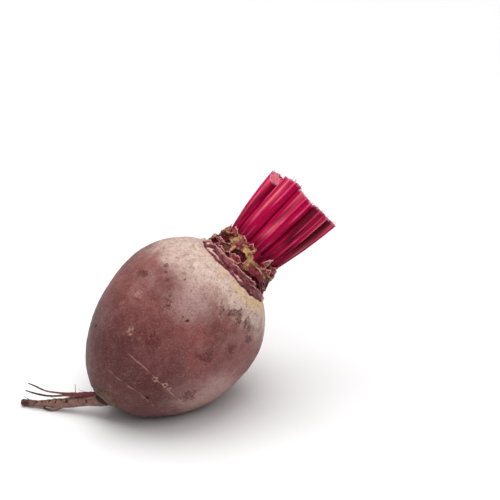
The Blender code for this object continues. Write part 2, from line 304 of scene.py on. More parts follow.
class BeetrootCrown(bpy.types.PropertyGroup):
    """Sizes of the crown of old leaf bases"""

    height: length_property("Crown height", "From the lip to the rim round the stalks", 13.5 * MM)
    foot_radius: length_property("Crown foot radius", "Radius in the crevice inside the lip", 18.9 * MM)
    top_radius: length_property("Crown top radius", "Radius at the rim", 15.4 * MM)
    hollow_radius: length_property("Hollow radius", "Radius of the hollow that holds the stalks", 14.4 * MM)
    hollow_floor: length_property("Hollow floor", "Height of the hollow's floor above the lip", 10.6 * MM)


class BeetrootStalks(bpy.types.PropertyGroup):
    """Sizes of the cut leaf stalks"""

    rib_depth: length_property("Rib depth", "Height of the ribs on a stalk's back", 0.5 * MM)
    strand_depth: length_property("Strand depth", "Height of the fine strands between the ribs", 0.07 * MM)
    fibres: bpy.props.IntProperty(
        name="Fibres", description="Torn fibres on each cut", default=15, min=0, max=60
    )
    fibre_length: length_property("Fibre length", "Length of the longest torn fibres", 2.6 * MM)


class BeetrootColours(bpy.types.PropertyGroup):
    """Colours of the beetroot"""

    skin: colour_property("Skin", "Brown-purple skin of the lower root", (141, 79, 75))
    # Also painted as shade that darkens the skin towards the tail
    skin_deep_and_shade: colour_property("Deep skin", "Darker maroon patches", (76, 32, 34))
    # Also painted as a sheen highlight on the front and as shade that greys the top
    skin_bloom_and_sheen: colour_property("Bloom", "Greyish pink bloom on the skin", (175, 140, 135))
    shoulder: colour_property("Shoulder", "Tan skin of the shoulder", (222, 195, 181))
    gold: colour_property("Gold", "Golden skin at the lip", (224, 186, 132))
    cork: colour_property("Cork", "Pale corky lines and scars", (196, 150, 132))
    # Also painted as shade in the crease over the taproot and in the crevices below the lip
    stain_and_shade: colour_property("Stain", "Dark stains and pits", (84, 34, 32))
    olive: colour_property("Olive", "Weathered folds at the tail", (80, 59, 42))
    scar: colour_property("Leaf scar", "Maroon inside the leaf scars", (96, 14, 26))
    cork_dark: colour_property("Dark cork", "Brown cork between the leaf scars", (104, 66, 42))
    cork_gold: colour_property("Golden cork", "Golden cork between the leaf scars", (190, 152, 104))
    facet: colour_property("Facet", "Purplish pink faces between the scars", (138, 66, 74))
    scar_rim: colour_property("Scar rim", "Pale torn edges of leaf bases and lip", (206, 150, 146))
    stalk: colour_property("Stalk", "Crimson of the stalks", (178, 3, 67))
    # Also painted as shade on the shaded stalks and at the stalks' feet
    stalk_dark_and_shade: colour_property("Dark stalk", "Dark strands and feet of the stalks", (92, 0, 25))
    # Also painted as a highlight along the ribs of the lit stalks
    stalk_pale_and_highlight: colour_property("Pale rib", "Pink ribs of the stalks", (246, 98, 148))
    torn: colour_property("Torn fibre", "Dry whitish fibres at the cuts", (226, 168, 192))
    # Also painted as a highlight streak along the stalks
    pulp: colour_property("Cut flesh", "Salmon flesh of the cuts", (238, 122, 130))
    root: colour_property("Taproot", "Pinkish brown of the taproot", (144, 106, 95))
    # Also painted as shade in the crease and throat where the skin laps over the taproot
    root_dark_and_shade: colour_property("Dark root", "Dark notches and tip of the roots", (58, 32, 30))


class BeetrootStage(bpy.types.PropertyGroup):
    """Camera and light"""

    azimuth: bpy.props.FloatProperty(
        name="Azimuth", description="Camera's angle round the part from behind -Y",
        default=math.radians(29.5), subtype="ANGLE",
    )
    elevation: bpy.props.FloatProperty(
        name="Elevation", description="How steeply the camera looks down", default=math.radians(26.5),
        subtype="ANGLE",
    )
    field_of_view: bpy.props.FloatProperty(
        name="Field of view", description="The camera's angle of view", default=math.radians(15),
        subtype="ANGLE",
    )
    size_per_pixel: length_property("Size per pixel", "Real size of one pixel at the root", 0.467 * MM)
    floor_size: length_property("Floor size", "Side of the pale floor", 2.8)
    key_power: bpy.props.FloatProperty(
        name="Key power", description="Power of the softbox above the camera", default=6.5, unit="POWER"
    )
    top_power: bpy.props.FloatProperty(
        name="Top power", description="Power of the wide overhead softbox", default=50.5, unit="POWER"
    )
    surround: bpy.props.FloatProperty(
        name="Surround", description="Brightness of the white surround as a light", default=0.25, min=0.0
    )


# A grid of points on the root before its relief: place along the axis, angle, radius, and the points
Surface = namedtuple("Surface", "along around radius even")


def mix(low, high, share):
    return low + (high - low) * share


def smoothstep(low, high, values):
    share = np.clip((values - low) / (high - low), 0.0, 1.0)
    return share * share * (3 - 2 * share)


def hump(values, middle, width):
    """1 at the middle, falling away smoothly on both sides over this width."""
    return np.exp(-((values - middle) / width) ** 2)


def wrap(angles):
    """Angles brought to between minus half a turn and half a turn."""
    return (angles + math.pi) % TAU - math.pi


def cloud(points, size, seed=0.0):
    """Smooth random values from about -1 to 1, one for each point, which change over about this size."""
    cell = points / size
    corner = np.floor(cell)
    inside = cell - corner
    ease = inside ** 3 * (inside * (6 * inside - 15) + 10)
    total = np.zeros(points.shape[:-1])
    for offset in itertools.product((0, 1), repeat=3):
        step = np.array(offset)
        weight = np.prod(np.where(step, ease, 1 - ease), axis=-1)
        lattice = corner + step
        key = lattice @ np.array((127.1, 311.7, 74.7))
        pull = []
        for number in range(3):
            hashed = np.sin(key + 41.3 * number + 17.17 * seed) * 43758.5453
            pull.append(2 * (hashed - np.floor(hashed)) - 1)
        total += weight * np.sum(np.stack(pull, axis=-1) * (cell - lattice), axis=-1)
    return 1.8 * total


def clouds(points, size, octaves, seed=0.0):
    """Clouds of this size with finer ones added, each half as large and half as strong."""
    return sum(cloud(points, size / 2 ** i, seed + i) / 2 ** i for i in range(octaves))


def on_ring(radius, around, along):
    """Points in the root's own frame."""
    return np.stack(np.broadcast_arrays(radius * np.cos(around), radius * np.sin(around), along), axis=-1)


def steps_around(count):
    return np.arange(count) * TAU / count


def to_part(points):
    """Points in the root's own frame, brought into the part's frame."""
    return points @ np.array(ROOT_POSE.to_3x3()).T + np.array(ROOT_POSE.translation)


def new_piece(name, points, faces, finish, masks, pose=Matrix.Identity(4)):
    """A smooth-shaded piece that rides on the part. masks are named values, one for each point."""
    mesh = bpy.data.meshes.new(name)
    mesh.from_pydata(points.tolist(), [], faces)
    for mask, values in masks.items():
        layer = mesh.attributes.new(mask, "FLOAT", "POINT").data
        layer.foreach_set("value", values.ravel().astype(np.float32))
    mesh.shade_smooth()
    mesh.materials.append(finish)
    mesh.update()
    piece = bpy.data.objects.new(name, mesh)
    piece.matrix_world = pose
    bpy.context.scene.collection.objects.link(piece)
    bpy.context.view_layer.update()
    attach(piece, "root")
    return piece


def ring_faces(rings, steps, first=0, caps=True):
    """Faces of a closed stack of rings, whose points are counted ring by ring from first."""
    faces = []
    for ring in range(rings - 1):
        low = first + ring * steps
        high = low + steps
        for i in range(steps):
            j = (i + 1) % steps
            faces.append((low + i, low + j, high + j, high + i))
    if caps:
        faces.append(tuple(range(first + steps - 1, first - 1, -1)))
        faces.append(tuple(range(first + (rings - 1) * steps, first + rings * steps)))
    return faces


def shell(middle, thickness):
    """Points and faces of a closed thin shell about a grid of points. thickness has one value a point."""
    rows, columns = middle.shape[:2]
    across = np.gradient(middle, axis=1)
    up = np.gradient(middle, axis=0)
    normal = np.cross(across, up)
    normal /= np.maximum(np.linalg.norm(normal, axis=-1, keepdims=True), 1e-12)
    half = normal * thickness[..., None] / 2
    points = np.concatenate([(middle + half).reshape(-1, 3), (middle - half).reshape(-1, 3)])
    back = rows * columns
    faces = []
    for r in range(rows - 1):
        for c in range(columns - 1):
            a, b = r * columns + c, r * columns + c + 1
            d, e = a + columns, b + columns
            faces.append((a, b, e, d))
            faces.append((back + d, back + e, back + b, back + a))
    rim = list(range(columns))
    rim += [r * columns + columns - 1 for r in range(1, rows)]
    rim += [(rows - 1) * columns + c for c in range(columns - 2, -1, -1)]
    rim += [r * columns for r in range(rows - 2, 0, -1)]
    for a, b in zip(rim, rim[1:] + rim[:1]):
        faces.append((b, a, back + a, back + b))
    return points, faces


class Bundle:
    """Gathers many small closed bodies into the points, faces and masks of one piece."""

    def __init__(self):
        self.points = []
        self.faces = []
        self.masks = {}
        self.count = 0

    def add(self, points, faces, **masks):
        self.points.append(points)
        self.faces += [tuple(index + self.count for index in face) for face in faces]
        for mask, values in masks.items():
            self.masks.setdefault(mask, []).append(np.broadcast_to(values, len(points)))
        self.count += len(points)

    def piece(self, name, finish):
        masks = {mask: np.concatenate(values) for mask, values in self.masks.items()}
        return new_piece(name, np.concatenate(self.points), self.faces, finish, masks)


def smooth_route(points, radii, steps):
    """A Catmull-Rom curve through points in millimetres: its points and the eased radii, in metres."""
    knots = np.column_stack([np.array(points, float), np.array(radii, float)])
    padded = np.vstack([2 * knots[0] - knots[1], knots, 2 * knots[-1] - knots[-2]])
    route = []
    for before, start, end, after in zip(padded, padded[1:], padded[2:], padded[3:]):
        square = 2 * before - 5 * start + 4 * end - after
        cube = 3 * start - before - 3 * end + after
        for t in np.arange(steps) / steps:
            route.append(0.5 * (2 * start + (end - before) * t + square * t ** 2 + cube * t ** 3))
    route = np.array([*route, knots[-1]]) * MM
    return route[:, :3], route[:, 3]


def route_frames(centres):
    """Two directions across a route at each of its points, with no twist from one to the next."""
    headings = np.gradient(centres, axis=0)
    headings /= np.linalg.norm(headings, axis=1, keepdims=True)
    side = np.array((0.0, 0.0, 1.0))
    sides = []
    for heading in headings:
        side = side - heading * side.dot(heading)
        side = side / np.linalg.norm(side)
        sides.append(side)
    sides = np.array(sides)
    return sides, np.cross(headings, sides)


def tube(centres, radii, steps):
    """Rings of points round a route. radii has one value a ring, or one for each point of each ring."""
    sides, thirds = route_frames(centres)
    around = steps_around(steps)[None, :, None]
    radii = np.asarray(radii)
    if radii.ndim == 1:
        radii = radii[:, None]
    outwards = np.cos(around) * sides[:, None] + np.sin(around) * thirds[:, None]
    return centres[:, None] + radii[..., None] * outwards


def linear(colour, share=1.0):
    """A screen colour, made darker or paler by this share, as linear light with full alpha."""
    shaded = [value * share for value in colour]
    return (*[c / 12.92 if c <= 0.04045 else ((c + 0.055) / 1.055) ** 2.4 for c in shaded], 1.0)


class Nodes:
    """Short calls that place and link nodes in a node tree."""

    def __init__(self, tree):
        self.tree = tree

    def add(self, kind, settings=None, **inputs):
        node = self.tree.nodes.new(kind)
        for name, value in (settings or {}).items():
            setattr(node, name, value)
        for name, value in inputs.items():
            self.feed(node.inputs[name.replace("_", " ")], value)
        return node

    def feed(self, socket, value):
        if isinstance(value, bpy.types.NodeSocket):
            self.tree.links.new(value, socket)
        else:
            socket.default_value = value

    def math(self, operation, a, b, clamp=False):
        node = self.add("ShaderNodeMath", {"operation": operation, "use_clamp": clamp})
        self.feed(node.inputs[0], a)
        self.feed(node.inputs[1], b)
        return node.outputs[0]

    def times(self, value, factor):
        return self.math("MULTIPLY", value, factor)

    def plus(self, value, other, share=1.0):
        """value with this share of the other added."""
        return self.math("ADD", value, other if share == 1.0 else self.times(other, share))

    def roughened(self, value, noise, amount):
        """value with this amount of a noise added, which is first centred on zero."""
        return self.plus(value, self.math("SUBTRACT", noise, 0.5), amount)

    def mix(self, share, low, high):
        node = self.add("ShaderNodeMix", {"data_type": "RGBA"}, Factor=share, A=low, B=high)
        return node.outputs["Result"]

    def ramp(self, value, low, high, to_low=0.0, to_high=1.0):
        """value eased from its range low to high to the range to_low to to_high."""
        node = self.add("ShaderNodeMapRange", {"interpolation_type": "SMOOTHSTEP"}, Value=value,
                        From_Min=low, From_Max=high, To_Min=to_low, To_Max=to_high)
        return node.outputs["Result"]

    def cover(self, colour, coat, mask, low, high, most=1.0):
        """colour under a coat that comes in as the mask goes from low to high, up to this share at most."""
        return self.mix(self.ramp(mask, low, high, 0.0, most), colour, coat)

    def mask(self, name):
        return self.add("ShaderNodeAttribute", {"attribute_name": name}).outputs["Fac"]

    def place(self):
        return self.add("ShaderNodeTexCoord").outputs["Object"]

    def root_place(self):
        """Places in the root's own frame."""
        node = self.add("ShaderNodeMapping", {"vector_type": "TEXTURE"}, Vector=self.place())
        node.inputs["Location"].default_value = ROOT_CENTRE
        node.inputs["Rotation"].default_value = (0.0, ROOT_TURN, 0.0)
        return node.outputs["Vector"]

    def noise(self, vector, scale, detail=3.0, roughness=0.55):
        node = self.add("ShaderNodeTexNoise", Vector=vector, Scale=scale, Detail=detail, Roughness=roughness)
        return node.outputs["Fac"]

    def group(self, tree, **inputs):
        return self.add("ShaderNodeGroup", {"node_tree": tree}, **inputs).outputs

    def mottled(self, place, low, high, scale, balance, contrast):
        """Two colours broken into each other, in the mottle group's own values."""
        return self.group(
            mottle_group(), Vector=place, Low=low, High=high, Scale=scale, Balance=balance, Contrast=contrast
        )

    def specks(self, place, scale, amount, size):
        """The speckle group's mask."""
        return self.group(speckle_group(), Vector=place, Scale=scale, Amount=amount, Size=size)["Mask"]

    def strands(self, place, scale, stretch, seed):
        """The strands group's mask and height."""
        return self.group(strands_group(), Vector=place, Scale=scale, Stretch=stretch, Seed=seed)


def new_group(name, inputs, outputs):
    """An empty shader node group: its tree, its Nodes helper, and its input and output sockets.

    inputs and outputs give each socket's default by its name: None for a vector, four values for a colour, or
    a number.
    """
    tree = bpy.data.node_groups.new(name, "ShaderNodeTree")
    for way, sockets in (("INPUT", inputs), ("OUTPUT", outputs)):
        for socket, default in sockets.items():
            if default is None:
                kind = "NodeSocketVector"
            elif isinstance(default, tuple):
                kind = "NodeSocketColor"
            else:
                kind = "NodeSocketFloat"
            made = tree.interface.new_socket(name=socket, in_out=way, socket_type=kind)
            if default is not None:
                made.default_value = default
    given = tree.nodes.new("NodeGroupInput").outputs
    return tree, Nodes(tree), given, tree.nodes.new("NodeGroupOutput").inputs


def mottle_group():
    """Two colours broken into each other at a coarse and a fine scale, as skin and cork are."""
    if "Mottle" in bpy.data.node_groups:
        return bpy.data.node_groups["Mottle"]
    inputs = {"Vector": None, "Low": BLACK, "High": BLACK, "Scale": 100.0, "Balance": 0.5, "Contrast": 0.2}
    tree, n, given, out = new_group("Mottle", inputs, {"Color": BLACK, "Mask": 0.0})
    coarse = n.noise(given["Vector"], given["Scale"], 5.0, 0.62)
    fine = n.noise(given["Vector"], n.times(given["Scale"], 5.3), 3.0, 0.6)
    both = n.plus(n.times(coarse, 0.68), fine, 0.32)
    low = n.math("SUBTRACT", given["Balance"], given["Contrast"])
    high = n.plus(given["Balance"], given["Contrast"])
    mask = n.ramp(both, low, high)
    n.feed(out["Color"], n.mix(mask, given["Low"], given["High"]))
    n.feed(out["Mask"], mask)
    return tree


def speckle_group():
    """A mask of small scattered specks, a few to each cell."""
    if "Speckle" in bpy.data.node_groups:
        return bpy.data.node_groups["Speckle"]
    inputs = {"Vector": None, "Scale": 500.0, "Amount": 0.3, "Size": 0.25}
    tree, n, given, out = new_group("Speckle", inputs, {"Mask": 0.0})
    warp = n.add("ShaderNodeTexNoise", Vector=given["Vector"], Scale=n.times(given["Scale"], 0.9)).outputs
    moved = n.add("ShaderNodeVectorMath", {"operation": "MULTIPLY_ADD"})
    for socket, value in zip(moved.inputs, (warp["Color"], [SPECKLE_WARP] * 3, given["Vector"])):
        n.feed(socket, value)
    cells = n.add("ShaderNodeTexVoronoi", Vector=moved.outputs[0], Scale=given["Scale"]).outputs
    spot = n.ramp(cells["Distance"], given["Size"], n.times(given["Size"], 0.45))
    pick = n.add("ShaderNodeSeparateColor", Color=cells["Color"]).outputs["Red"]
    n.feed(out["Mask"], n.times(spot, n.math("LESS_THAN", pick, given["Amount"])))
    return tree


def strands_group():
    """Fine strands that run along local Z, as in a stalk: a mask of streaks, and their height."""
    if "Strands" in bpy.data.node_groups:
        return bpy.data.node_groups["Strands"]
    inputs = {"Vector": None, "Scale": 900.0, "Stretch": 0.05, "Seed": 0.0}
    tree, n, given, out = new_group("Strands", inputs, {"Mask": 0.0, "Height": 0.0})
    split = n.add("ShaderNodeSeparateXYZ", Vector=given["Vector"]).outputs
    along = n.plus(n.times(split["Z"], given["Stretch"]), given["Seed"], STRAND_SHIFT)
    drawn = n.add("ShaderNodeCombineXYZ", X=split["X"], Y=split["Y"], Z=along).outputs[0]
    broad = n.noise(drawn, n.times(given["Scale"], 0.42), 2.0, 0.5)
    fine = n.noise(drawn, given["Scale"], 2.0, 0.6)
    both = n.plus(n.times(broad, 0.6), fine, 0.4)
    n.feed(out["Mask"], n.ramp(both, 0.36, 0.64))
    n.feed(out["Height"], fine)
    return tree


class Finish(Nodes):
    """Nodes of a new material, which feed its Principled shader."""

    def __init__(self, name, specular, flesh=()):
        """flesh is the weight, radius and scale of the light that scatters inside, where some does."""
        self.material = bpy.data.materials.new(name)
        self.material.use_nodes = True
        super().__init__(self.material.node_tree)
        self.shader = self.tree.nodes["Principled BSDF"].inputs
        self.shader["Specular IOR Level"].default_value = specular
        for part, value in zip(("Weight", "Radius", "Scale"), flesh):
            self.shader["Subsurface " + part].default_value = value

    def done(self, colour, rough, height, depth):
        """The material, once its colour, its roughness and a bump of this depth are fed to the shader."""
        bump = self.add("ShaderNodeBump", Height=height)
        bump.inputs["Distance"].default_value = depth
        self.feed(self.shader["Base Color"], colour)
        self.feed(self.shader["Roughness"], rough)
        self.feed(self.shader["Normal"], bump.outputs["Normal"])
        return self.material


def ground_colour(n, place, colours, bloom_and_sheen, ragged):
    """The skin's colours: brown-purple with maroon patches, tan at the shoulder, and pinkish bloom.

    Painted shade darkens it towards the tail, and the bloom carries a painted sheen highlight
    and painted shade on the top.
    """
    lower = n.mottled(place, linear(colours.skin_deep_and_shade), linear(colours.skin), 70.0, 0.42, 0.27)["Color"]
    lower = n.cover(lower, linear(colours.skin_bloom_and_sheen), bloom_and_sheen, 0.46, 0.8, 0.25)
    # Painted shade: the skin darkens towards the tail
    lower = n.cover(lower, linear(colours.skin_deep_and_shade), n.mask("tail_shade"), 0.0, 1.0, 0.8)
    # Bloom spots, with a painted sheen highlight on the front and painted shade that greys the top
    cloudy = n.roughened(n.mask("bloom_and_sheen"), bloom_and_sheen, 0.9)
    lower = n.cover(lower, linear(colours.skin_bloom_and_sheen), cloudy, 0.05, 1.0, 0.85)
    tan = n.mottled(place, linear(colours.shoulder, 0.8), linear(colours.shoulder), 300.0, 0.46, 0.2)
    # The painted sheen and the painted shade on the top lie over the tan too
    tan = n.cover(tan["Color"], linear(colours.skin_bloom_and_sheen, 1.06), cloudy, 0.3, 1.1, 0.6)
    return n.cover(lower, tan, n.plus(n.mask("shoulder"), ragged, 0.65), 0.0, 0.8)


def with_specks(n, place, colours, colour, grain, pale):
    """The skin's fine pale and dark specks and patches, laid over its colour."""
    colour = n.mix(n.times(pale, 0.07), colour, linear(colours.skin_bloom_and_sheen))
    patchy = n.noise(place, 520.0, 4.0, 0.7)
    colour = n.cover(colour, linear(colours.skin_deep_and_shade), patchy, 0.48, 0.66, 0.34)
    dark = n.specks(place, 680.0, 0.3, 0.34)
    colour = n.mix(n.times(dark, 0.24), colour, linear(colours.skin_deep_and_shade))
    colour = n.cover(colour, linear(colours.skin_deep_and_shade), grain, 0.5, 0.72, 0.45)
    return n.cover(colour, linear(colours.shoulder), grain, 0.48, 0.3, 0.12)


def with_marks(n, place, colours, colour, grain, ragged):
    """The weathered fold, stains, cork and torn leaf skin, laid over the skin's colour.

    The dark of the stains also holds painted shade in the creases and crevices.
    """
    fold = n.mottled(place, linear(colours.olive, 0.55), linear(colours.olive, 1.45), 260.0, 0.5, 0.14)
    colour = n.cover(colour, fold["Color"], n.mask("olive"), 0.1, 0.8, 0.85)
    # Stains and pits, with painted shade in the crease over the taproot and in the crevices below the lip
    stained = n.roughened(n.plus(n.mask("stain_and_shade"), ragged, 2.0), grain, 2.4)
    colour = n.cover(colour, linear(colours.stain_and_shade), stained, 0.3, 1.2, 0.85)
    colour = n.cover(colour, linear(colours.cork), n.plus(n.mask("cork"), ragged, 0.6), 0.15, 0.9, 0.8)
    torn = n.mottled(place, linear(colours.scar, 0.7), linear(colours.facet), 380.0, 0.52, 0.12)["Color"]
    colour = n.mix(n.mask("collar"), colour, torn)
    colour = n.mix(n.mask("torn"), colour, linear(colours.scar_rim))
    colour = n.cover(colour, linear(RIBBON_PINK), n.mask("ribbon"), 0.1, 0.6)
    # Darkest in the pits, and in the painted shade of the creases and crevices
    return n.cover(colour, linear(colours.stain_and_shade, 0.4), n.mask("stain_and_shade"), 1.0, 1.4, 0.85)


def skin_material(colours):
    """Beetroot skin: mottled brown-purple, tan at the shoulder, gold at the lip, with cork and stains.

    It also carries painted shade towards the tail, in creases and in crevices, and a painted sheen highlight.
    """
    n = Finish("beetroot_skin", specular=0.22)
    place = n.root_place()
    bloom_and_sheen = n.noise(place, 260.0, 6.0, 0.72)
    grain = n.noise(place, 1250.0, 3.0, 0.7)
    pale = n.specks(place, 760.0, 0.35, 0.5)
    ragged = n.math("SUBTRACT", n.noise(place, 210.0, 7.0, 0.75), 0.5)
    colour = ground_colour(n, place, colours, bloom_and_sheen, ragged)
    gold = n.roughened(n.plus(n.mask("gold"), ragged, 2.4), grain, 1.4)
    colour = n.cover(colour, linear(colours.gold), gold, 0.2, 1.3, 0.85)
    colour = with_specks(n, place, colours, colour, grain, pale)
    colour = with_marks(n, place, colours, colour, grain, ragged)
    rough = n.plus(n.times(n.mask("shoulder"), 0.1), n.mask("cork"), 0.2)
    rough = n.plus(rough, n.ramp(bloom_and_sheen, 0.2, 0.8, 0.42, 0.56))
    height = n.plus(n.plus(n.times(grain, -0.5), bloom_and_sheen, 0.8), pale, 0.3)
    return n.done(colour, rough, height, 0.3 * MM)


def crown_material(colours):
    """The crown: golden and brown cork between maroon leaf scars with pale torn rims."""
    n = Finish("crown_cork", specular=0.08)
    place = n.root_place()
    rosy = n.plus(n.noise(place, 150.0, 5.0, 0.7), n.mask("golden"), 0.12)
    fine = n.noise(place, 700.0, 4.0, 0.7)
    brown = n.mottled(place, linear(colours.cork_dark), linear(colours.cork_gold), 420.0, 0.5, 0.1)
    maroon = n.mottled(place, linear(colours.scar, 0.35), linear(colours.scar, 0.85), 300.0, 0.47, 0.14)
    bark = n.mottled(place, linear(colours.scar), linear(colours.facet), 340.0, 0.5, 0.14)
    cork = n.cover(bark["Color"], brown["Color"], rosy, 0.52, 0.62)
    colour = n.cover(cork, maroon["Color"], n.mask("pit"), 0.2, 0.85)
    dots = n.times(n.specks(place, 700.0, 0.4, 0.32), n.times(n.mask("pit"), 0.25))
    colour = n.mix(dots, colour, linear(colours.scar_rim))
    rim = n.roughened(n.mask("rim"), fine, 1.0)
    colour = n.cover(colour, linear(colours.scar_rim), rim, 0.35, 0.95, 0.85)
    flesh = n.strands(place, 900.0, 0.08, 2.0)["Mask"]
    flesh = n.mix(flesh, linear(colours.stalk_dark_and_shade, 0.8), linear(colours.stalk, 0.8))
    colour = n.mix(n.mask("sheath"), colour, flesh)
    rough = n.ramp(n.mask("pit"), 0.0, 1.0, 0.62, 0.45)
    return n.done(colour, rough, n.plus(fine, rosy, 0.5), 0.25 * MM)


def torn_material(colours):
    """Torn leaf bases: maroon at the foot, pale pink and dry along the torn edge."""
    n = Finish("torn_leaf_base", specular=0.2, flesh=(0.12, (1.0, 0.25, 0.25), 0.8 * MM))
    streak = n.noise(n.root_place(), 480.0, 4.0, 0.7)
    body = n.cover(linear(colours.scar), linear(TORN_PINK), streak, 0.35, 0.65)
    colour = n.cover(body, linear(colours.scar_rim), n.roughened(n.mask("edge"), streak, 0.7), 0.3, 0.8)
    return n.done(colour, n.ramp(streak, 0.3, 0.7, 0.35, 0.55), streak, 0.15 * MM)


def stalk_material(colours):
    """Moist crimson stalks with dark and pink strands, darker at the foot, salmon at the cut.

    They carry painted light: each stalk is lighter or darker as it faces the light, the pink ribs and salmon
    streaks are painted highlights, and the darker foot is painted shade.
    """
    n = Finish("stalk_crimson", specular=0.09)
    place = n.place()
    broad = n.strands(place, 620.0, 0.035, 1.0)
    fine = n.strands(place, 1900.0, 0.03, 4.0)
    pulp_noise = n.noise(place, 1100.0, 3.0, 0.6)
    # Each stalk's own tone with painted light and shade: dark on the shaded stalks, crimson on the lit ones
    share = n.roughened(n.mask("tone_and_light"), broad["Mask"], 0.9)
    colour = n.cover(linear(colours.stalk_dark_and_shade), linear(colours.stalk), share, 0.0, 0.75)
    # Painted highlight along the ribs, strongest on the lit stalks
    lit_ridge = n.ramp(n.roughened(n.mask("rib"), fine["Mask"], 0.5), 0.35, 1.1)
    lit_ridge = n.times(lit_ridge, n.times(broad["Mask"], n.mask("tone_and_light")))
    colour = n.mix(n.math("MULTIPLY", lit_ridge, 1.1, clamp=True), colour, linear(colours.stalk_pale_and_highlight))
    # A painted highlight streak, in the salmon of the cut flesh
    colour = n.mix(n.times(n.mask("streak"), 0.95), colour, linear(colours.pulp))
    # Painted shade towards the foot
    colour = n.cover(colour, linear(colours.stalk_dark_and_shade), n.mask("foot"), 0.0, 1.0, 0.65)
    pulp = n.mix(n.ramp(pulp_noise, 0.3, 0.6, 0.35, 1.0), linear(colours.stalk), linear(colours.pulp))
    pulp = n.mix(n.mask("vein"), pulp, linear(colours.scar_rim))
    colour = n.cover(colour, pulp, n.mask("cut"), 0.3, 0.9)
    colour = n.mix(n.times(n.mask("fray"), fine["Mask"]), colour, linear(colours.torn))
    height = n.plus(n.plus(fine["Height"], broad["Height"], 0.6), n.times(pulp_noise, n.mask("cut")), 1.5)
    return n.done(colour, n.ramp(fine["Mask"], 0.0, 1.0, 0.3, 0.42), height, 0.12 * MM)


def fibre_material(colours):
    """Dry whitish pink fibres at the cuts."""
    n = Finish("torn_fibre", specular=0.5, flesh=(0.1, (1.0, 0.4, 0.5), 0.5 * MM))
    speck = n.noise(n.place(), 900.0, 2.0, 0.5)
    colour = n.cover(linear(colours.torn), linear(colours.stalk_pale_and_highlight), speck, 0.5, 0.8)
    return n.done(colour, n.ramp(speck, 0.3, 0.7, 0.45, 0.6), speck, 0.05 * MM)


def root_material(colours):
    """Pinkish brown taproot and rootlets, dark in their notches and at their tips.

    The dark also holds painted shade where the skin laps over the taproot.
    """
    n = Finish("root_bark", specular=0.2)
    place = n.place()
    bark = n.mottled(place, linear(colours.root, 0.8), linear(colours.root), 420.0, 0.47, 0.16)
    colour = n.cover(bark["Color"], linear(ROOT_RED), n.mask("reddish"), 0.0, 1.0, 0.8)
    colour = n.cover(colour, linear(colours.root_dark_and_shade), n.mask("dark"), 0.1, 0.9, 0.95)
    rough = n.ramp(bark["Mask"], 0.0, 1.0, 0.66, 0.52)
    return n.done(colour, rough, n.noise(place, 1300.0, 4.0, 0.65), 0.16 * MM)


def floor_material():
    """The pale seamless floor, with a faint unevenness in its sheen."""
    n = Finish("pale_floor", specular=0.2)
    n.shader["Base Color"].default_value = FLOOR_COLOUR
    n.feed(n.shader["Roughness"], n.ramp(n.noise(n.place(), 12.0), 0.3, 0.7, 0.62, 0.7))
    return n.material


def root_outline(root, turn):
    """Place along the axis and radius of the root where its outline has turned this far from the tail."""
    tail_side = turn < math.pi / 2
    along = -np.where(tail_side, root.tail_length, root.shoulder_length) * np.cos(turn)
    radius = root.radius * np.sin(turn) ** np.where(tail_side, TAIL_TAPER, 1.0)
    return along, radius


def swelling(root, along, around, radius):
    """How far the skin stands out from its even shape: soft lumps, and the underside's sag."""
    lumps = 0.0
    for height, waves, phase, twist in LUMPS:
        lumps = lumps + height * np.sin(waves * around + phase + twist * along)
    off_underside = wrap(around) / SAG_WIDTH
    off_place = (along - SAG_PLACE) / SAG_LENGTH
    return lumps * radius / root.radius + SAG_DEPTH * np.exp(-off_underside ** 2 - off_place ** 2)


def spot_reach(surface, spot):
    """Distance over the skin from a spot's middle, as a share of the spot's radius."""
    along, around, radius = spot
    across = wrap(surface.around - math.radians(around)) * np.maximum(surface.radius, MM)
    return np.hypot(surface.along - along * MM, across) / (radius * MM)


def ragged_spots(surface, spots, depth, size, octaves, seed):
    """The reach of each spot in turn, made ragged by clouds of this depth and size."""
    rough = depth * clouds(surface.even, size, octaves, seed)
    for spot in spots:
        yield spot_reach(surface, spot) + rough


def corky_line(surface, wander, line):
    """A mask of one corky line, which wanders a little and fades at both ends."""
    place, drift, first, last, half_width, strength = line
    share = (np.degrees(surface.around) % 360 - first) / (last - first)
    middle = (place + drift * share) * MM + wander
    fade = smoothstep(0.0, 0.12, share) * smoothstep(1.0, 0.85, share)
    return strength * fade * hump(surface.along, middle, half_width * MM)


def tail_fold(surface):
    """The weathered fold of skin over the taproot.

    Returns its relief, and masks of its skin, of the painted shade in its creases and throat, and of its
    roll.
    """
    on_tail = surface.along < 0
    lap = hump(wrap(surface.around - FOLD_AROUND), 0.0, FOLD_SPREAD)
    edge = (FOLD_EDGE + FOLD_LAP * lap) * MM + 0.7 * MM * cloud(surface.even, 4 * MM, 29)
    inside = (edge - surface.radius) / MM
    roll = on_tail * lap * hump(inside, 3.6, 2.4)
    groove = on_tail * hump(inside, 0.2, 0.6)
    # The throat round the taproot dips in and is painted dark as shade
    shaded_throat = on_tail * smoothstep(7.4 * MM, 5.6 * MM, surface.radius)
    # The painted shade in the crease is darkest on one side
    darker = 0.45 + 0.5 * hump(wrap(surface.around - CREASE_SHADE_AROUND), 0.0, 0.26)
    tuck = on_tail * smoothstep(19 * MM, 9 * MM, surface.radius)
    tuck = tuck * hump(wrap(surface.around - TUCK_AROUND), 0.0, 0.9)
    relief = MM * (1.1 * roll - 0.35 * groove - 1.6 * shaded_throat) - TUCK_DEPTH * tuck
    return relief, on_tail * smoothstep(-1.0, 0.8, inside), np.maximum(shaded_throat, darker * groove), roll


def collar_reach(around):
    """How far below the lip the torn leaf skin laps over the shoulder."""
    return COLLAR_DEPTH * np.exp(-(wrap(around - COLLAR_AROUND) / COLLAR_SPREAD) ** 4)


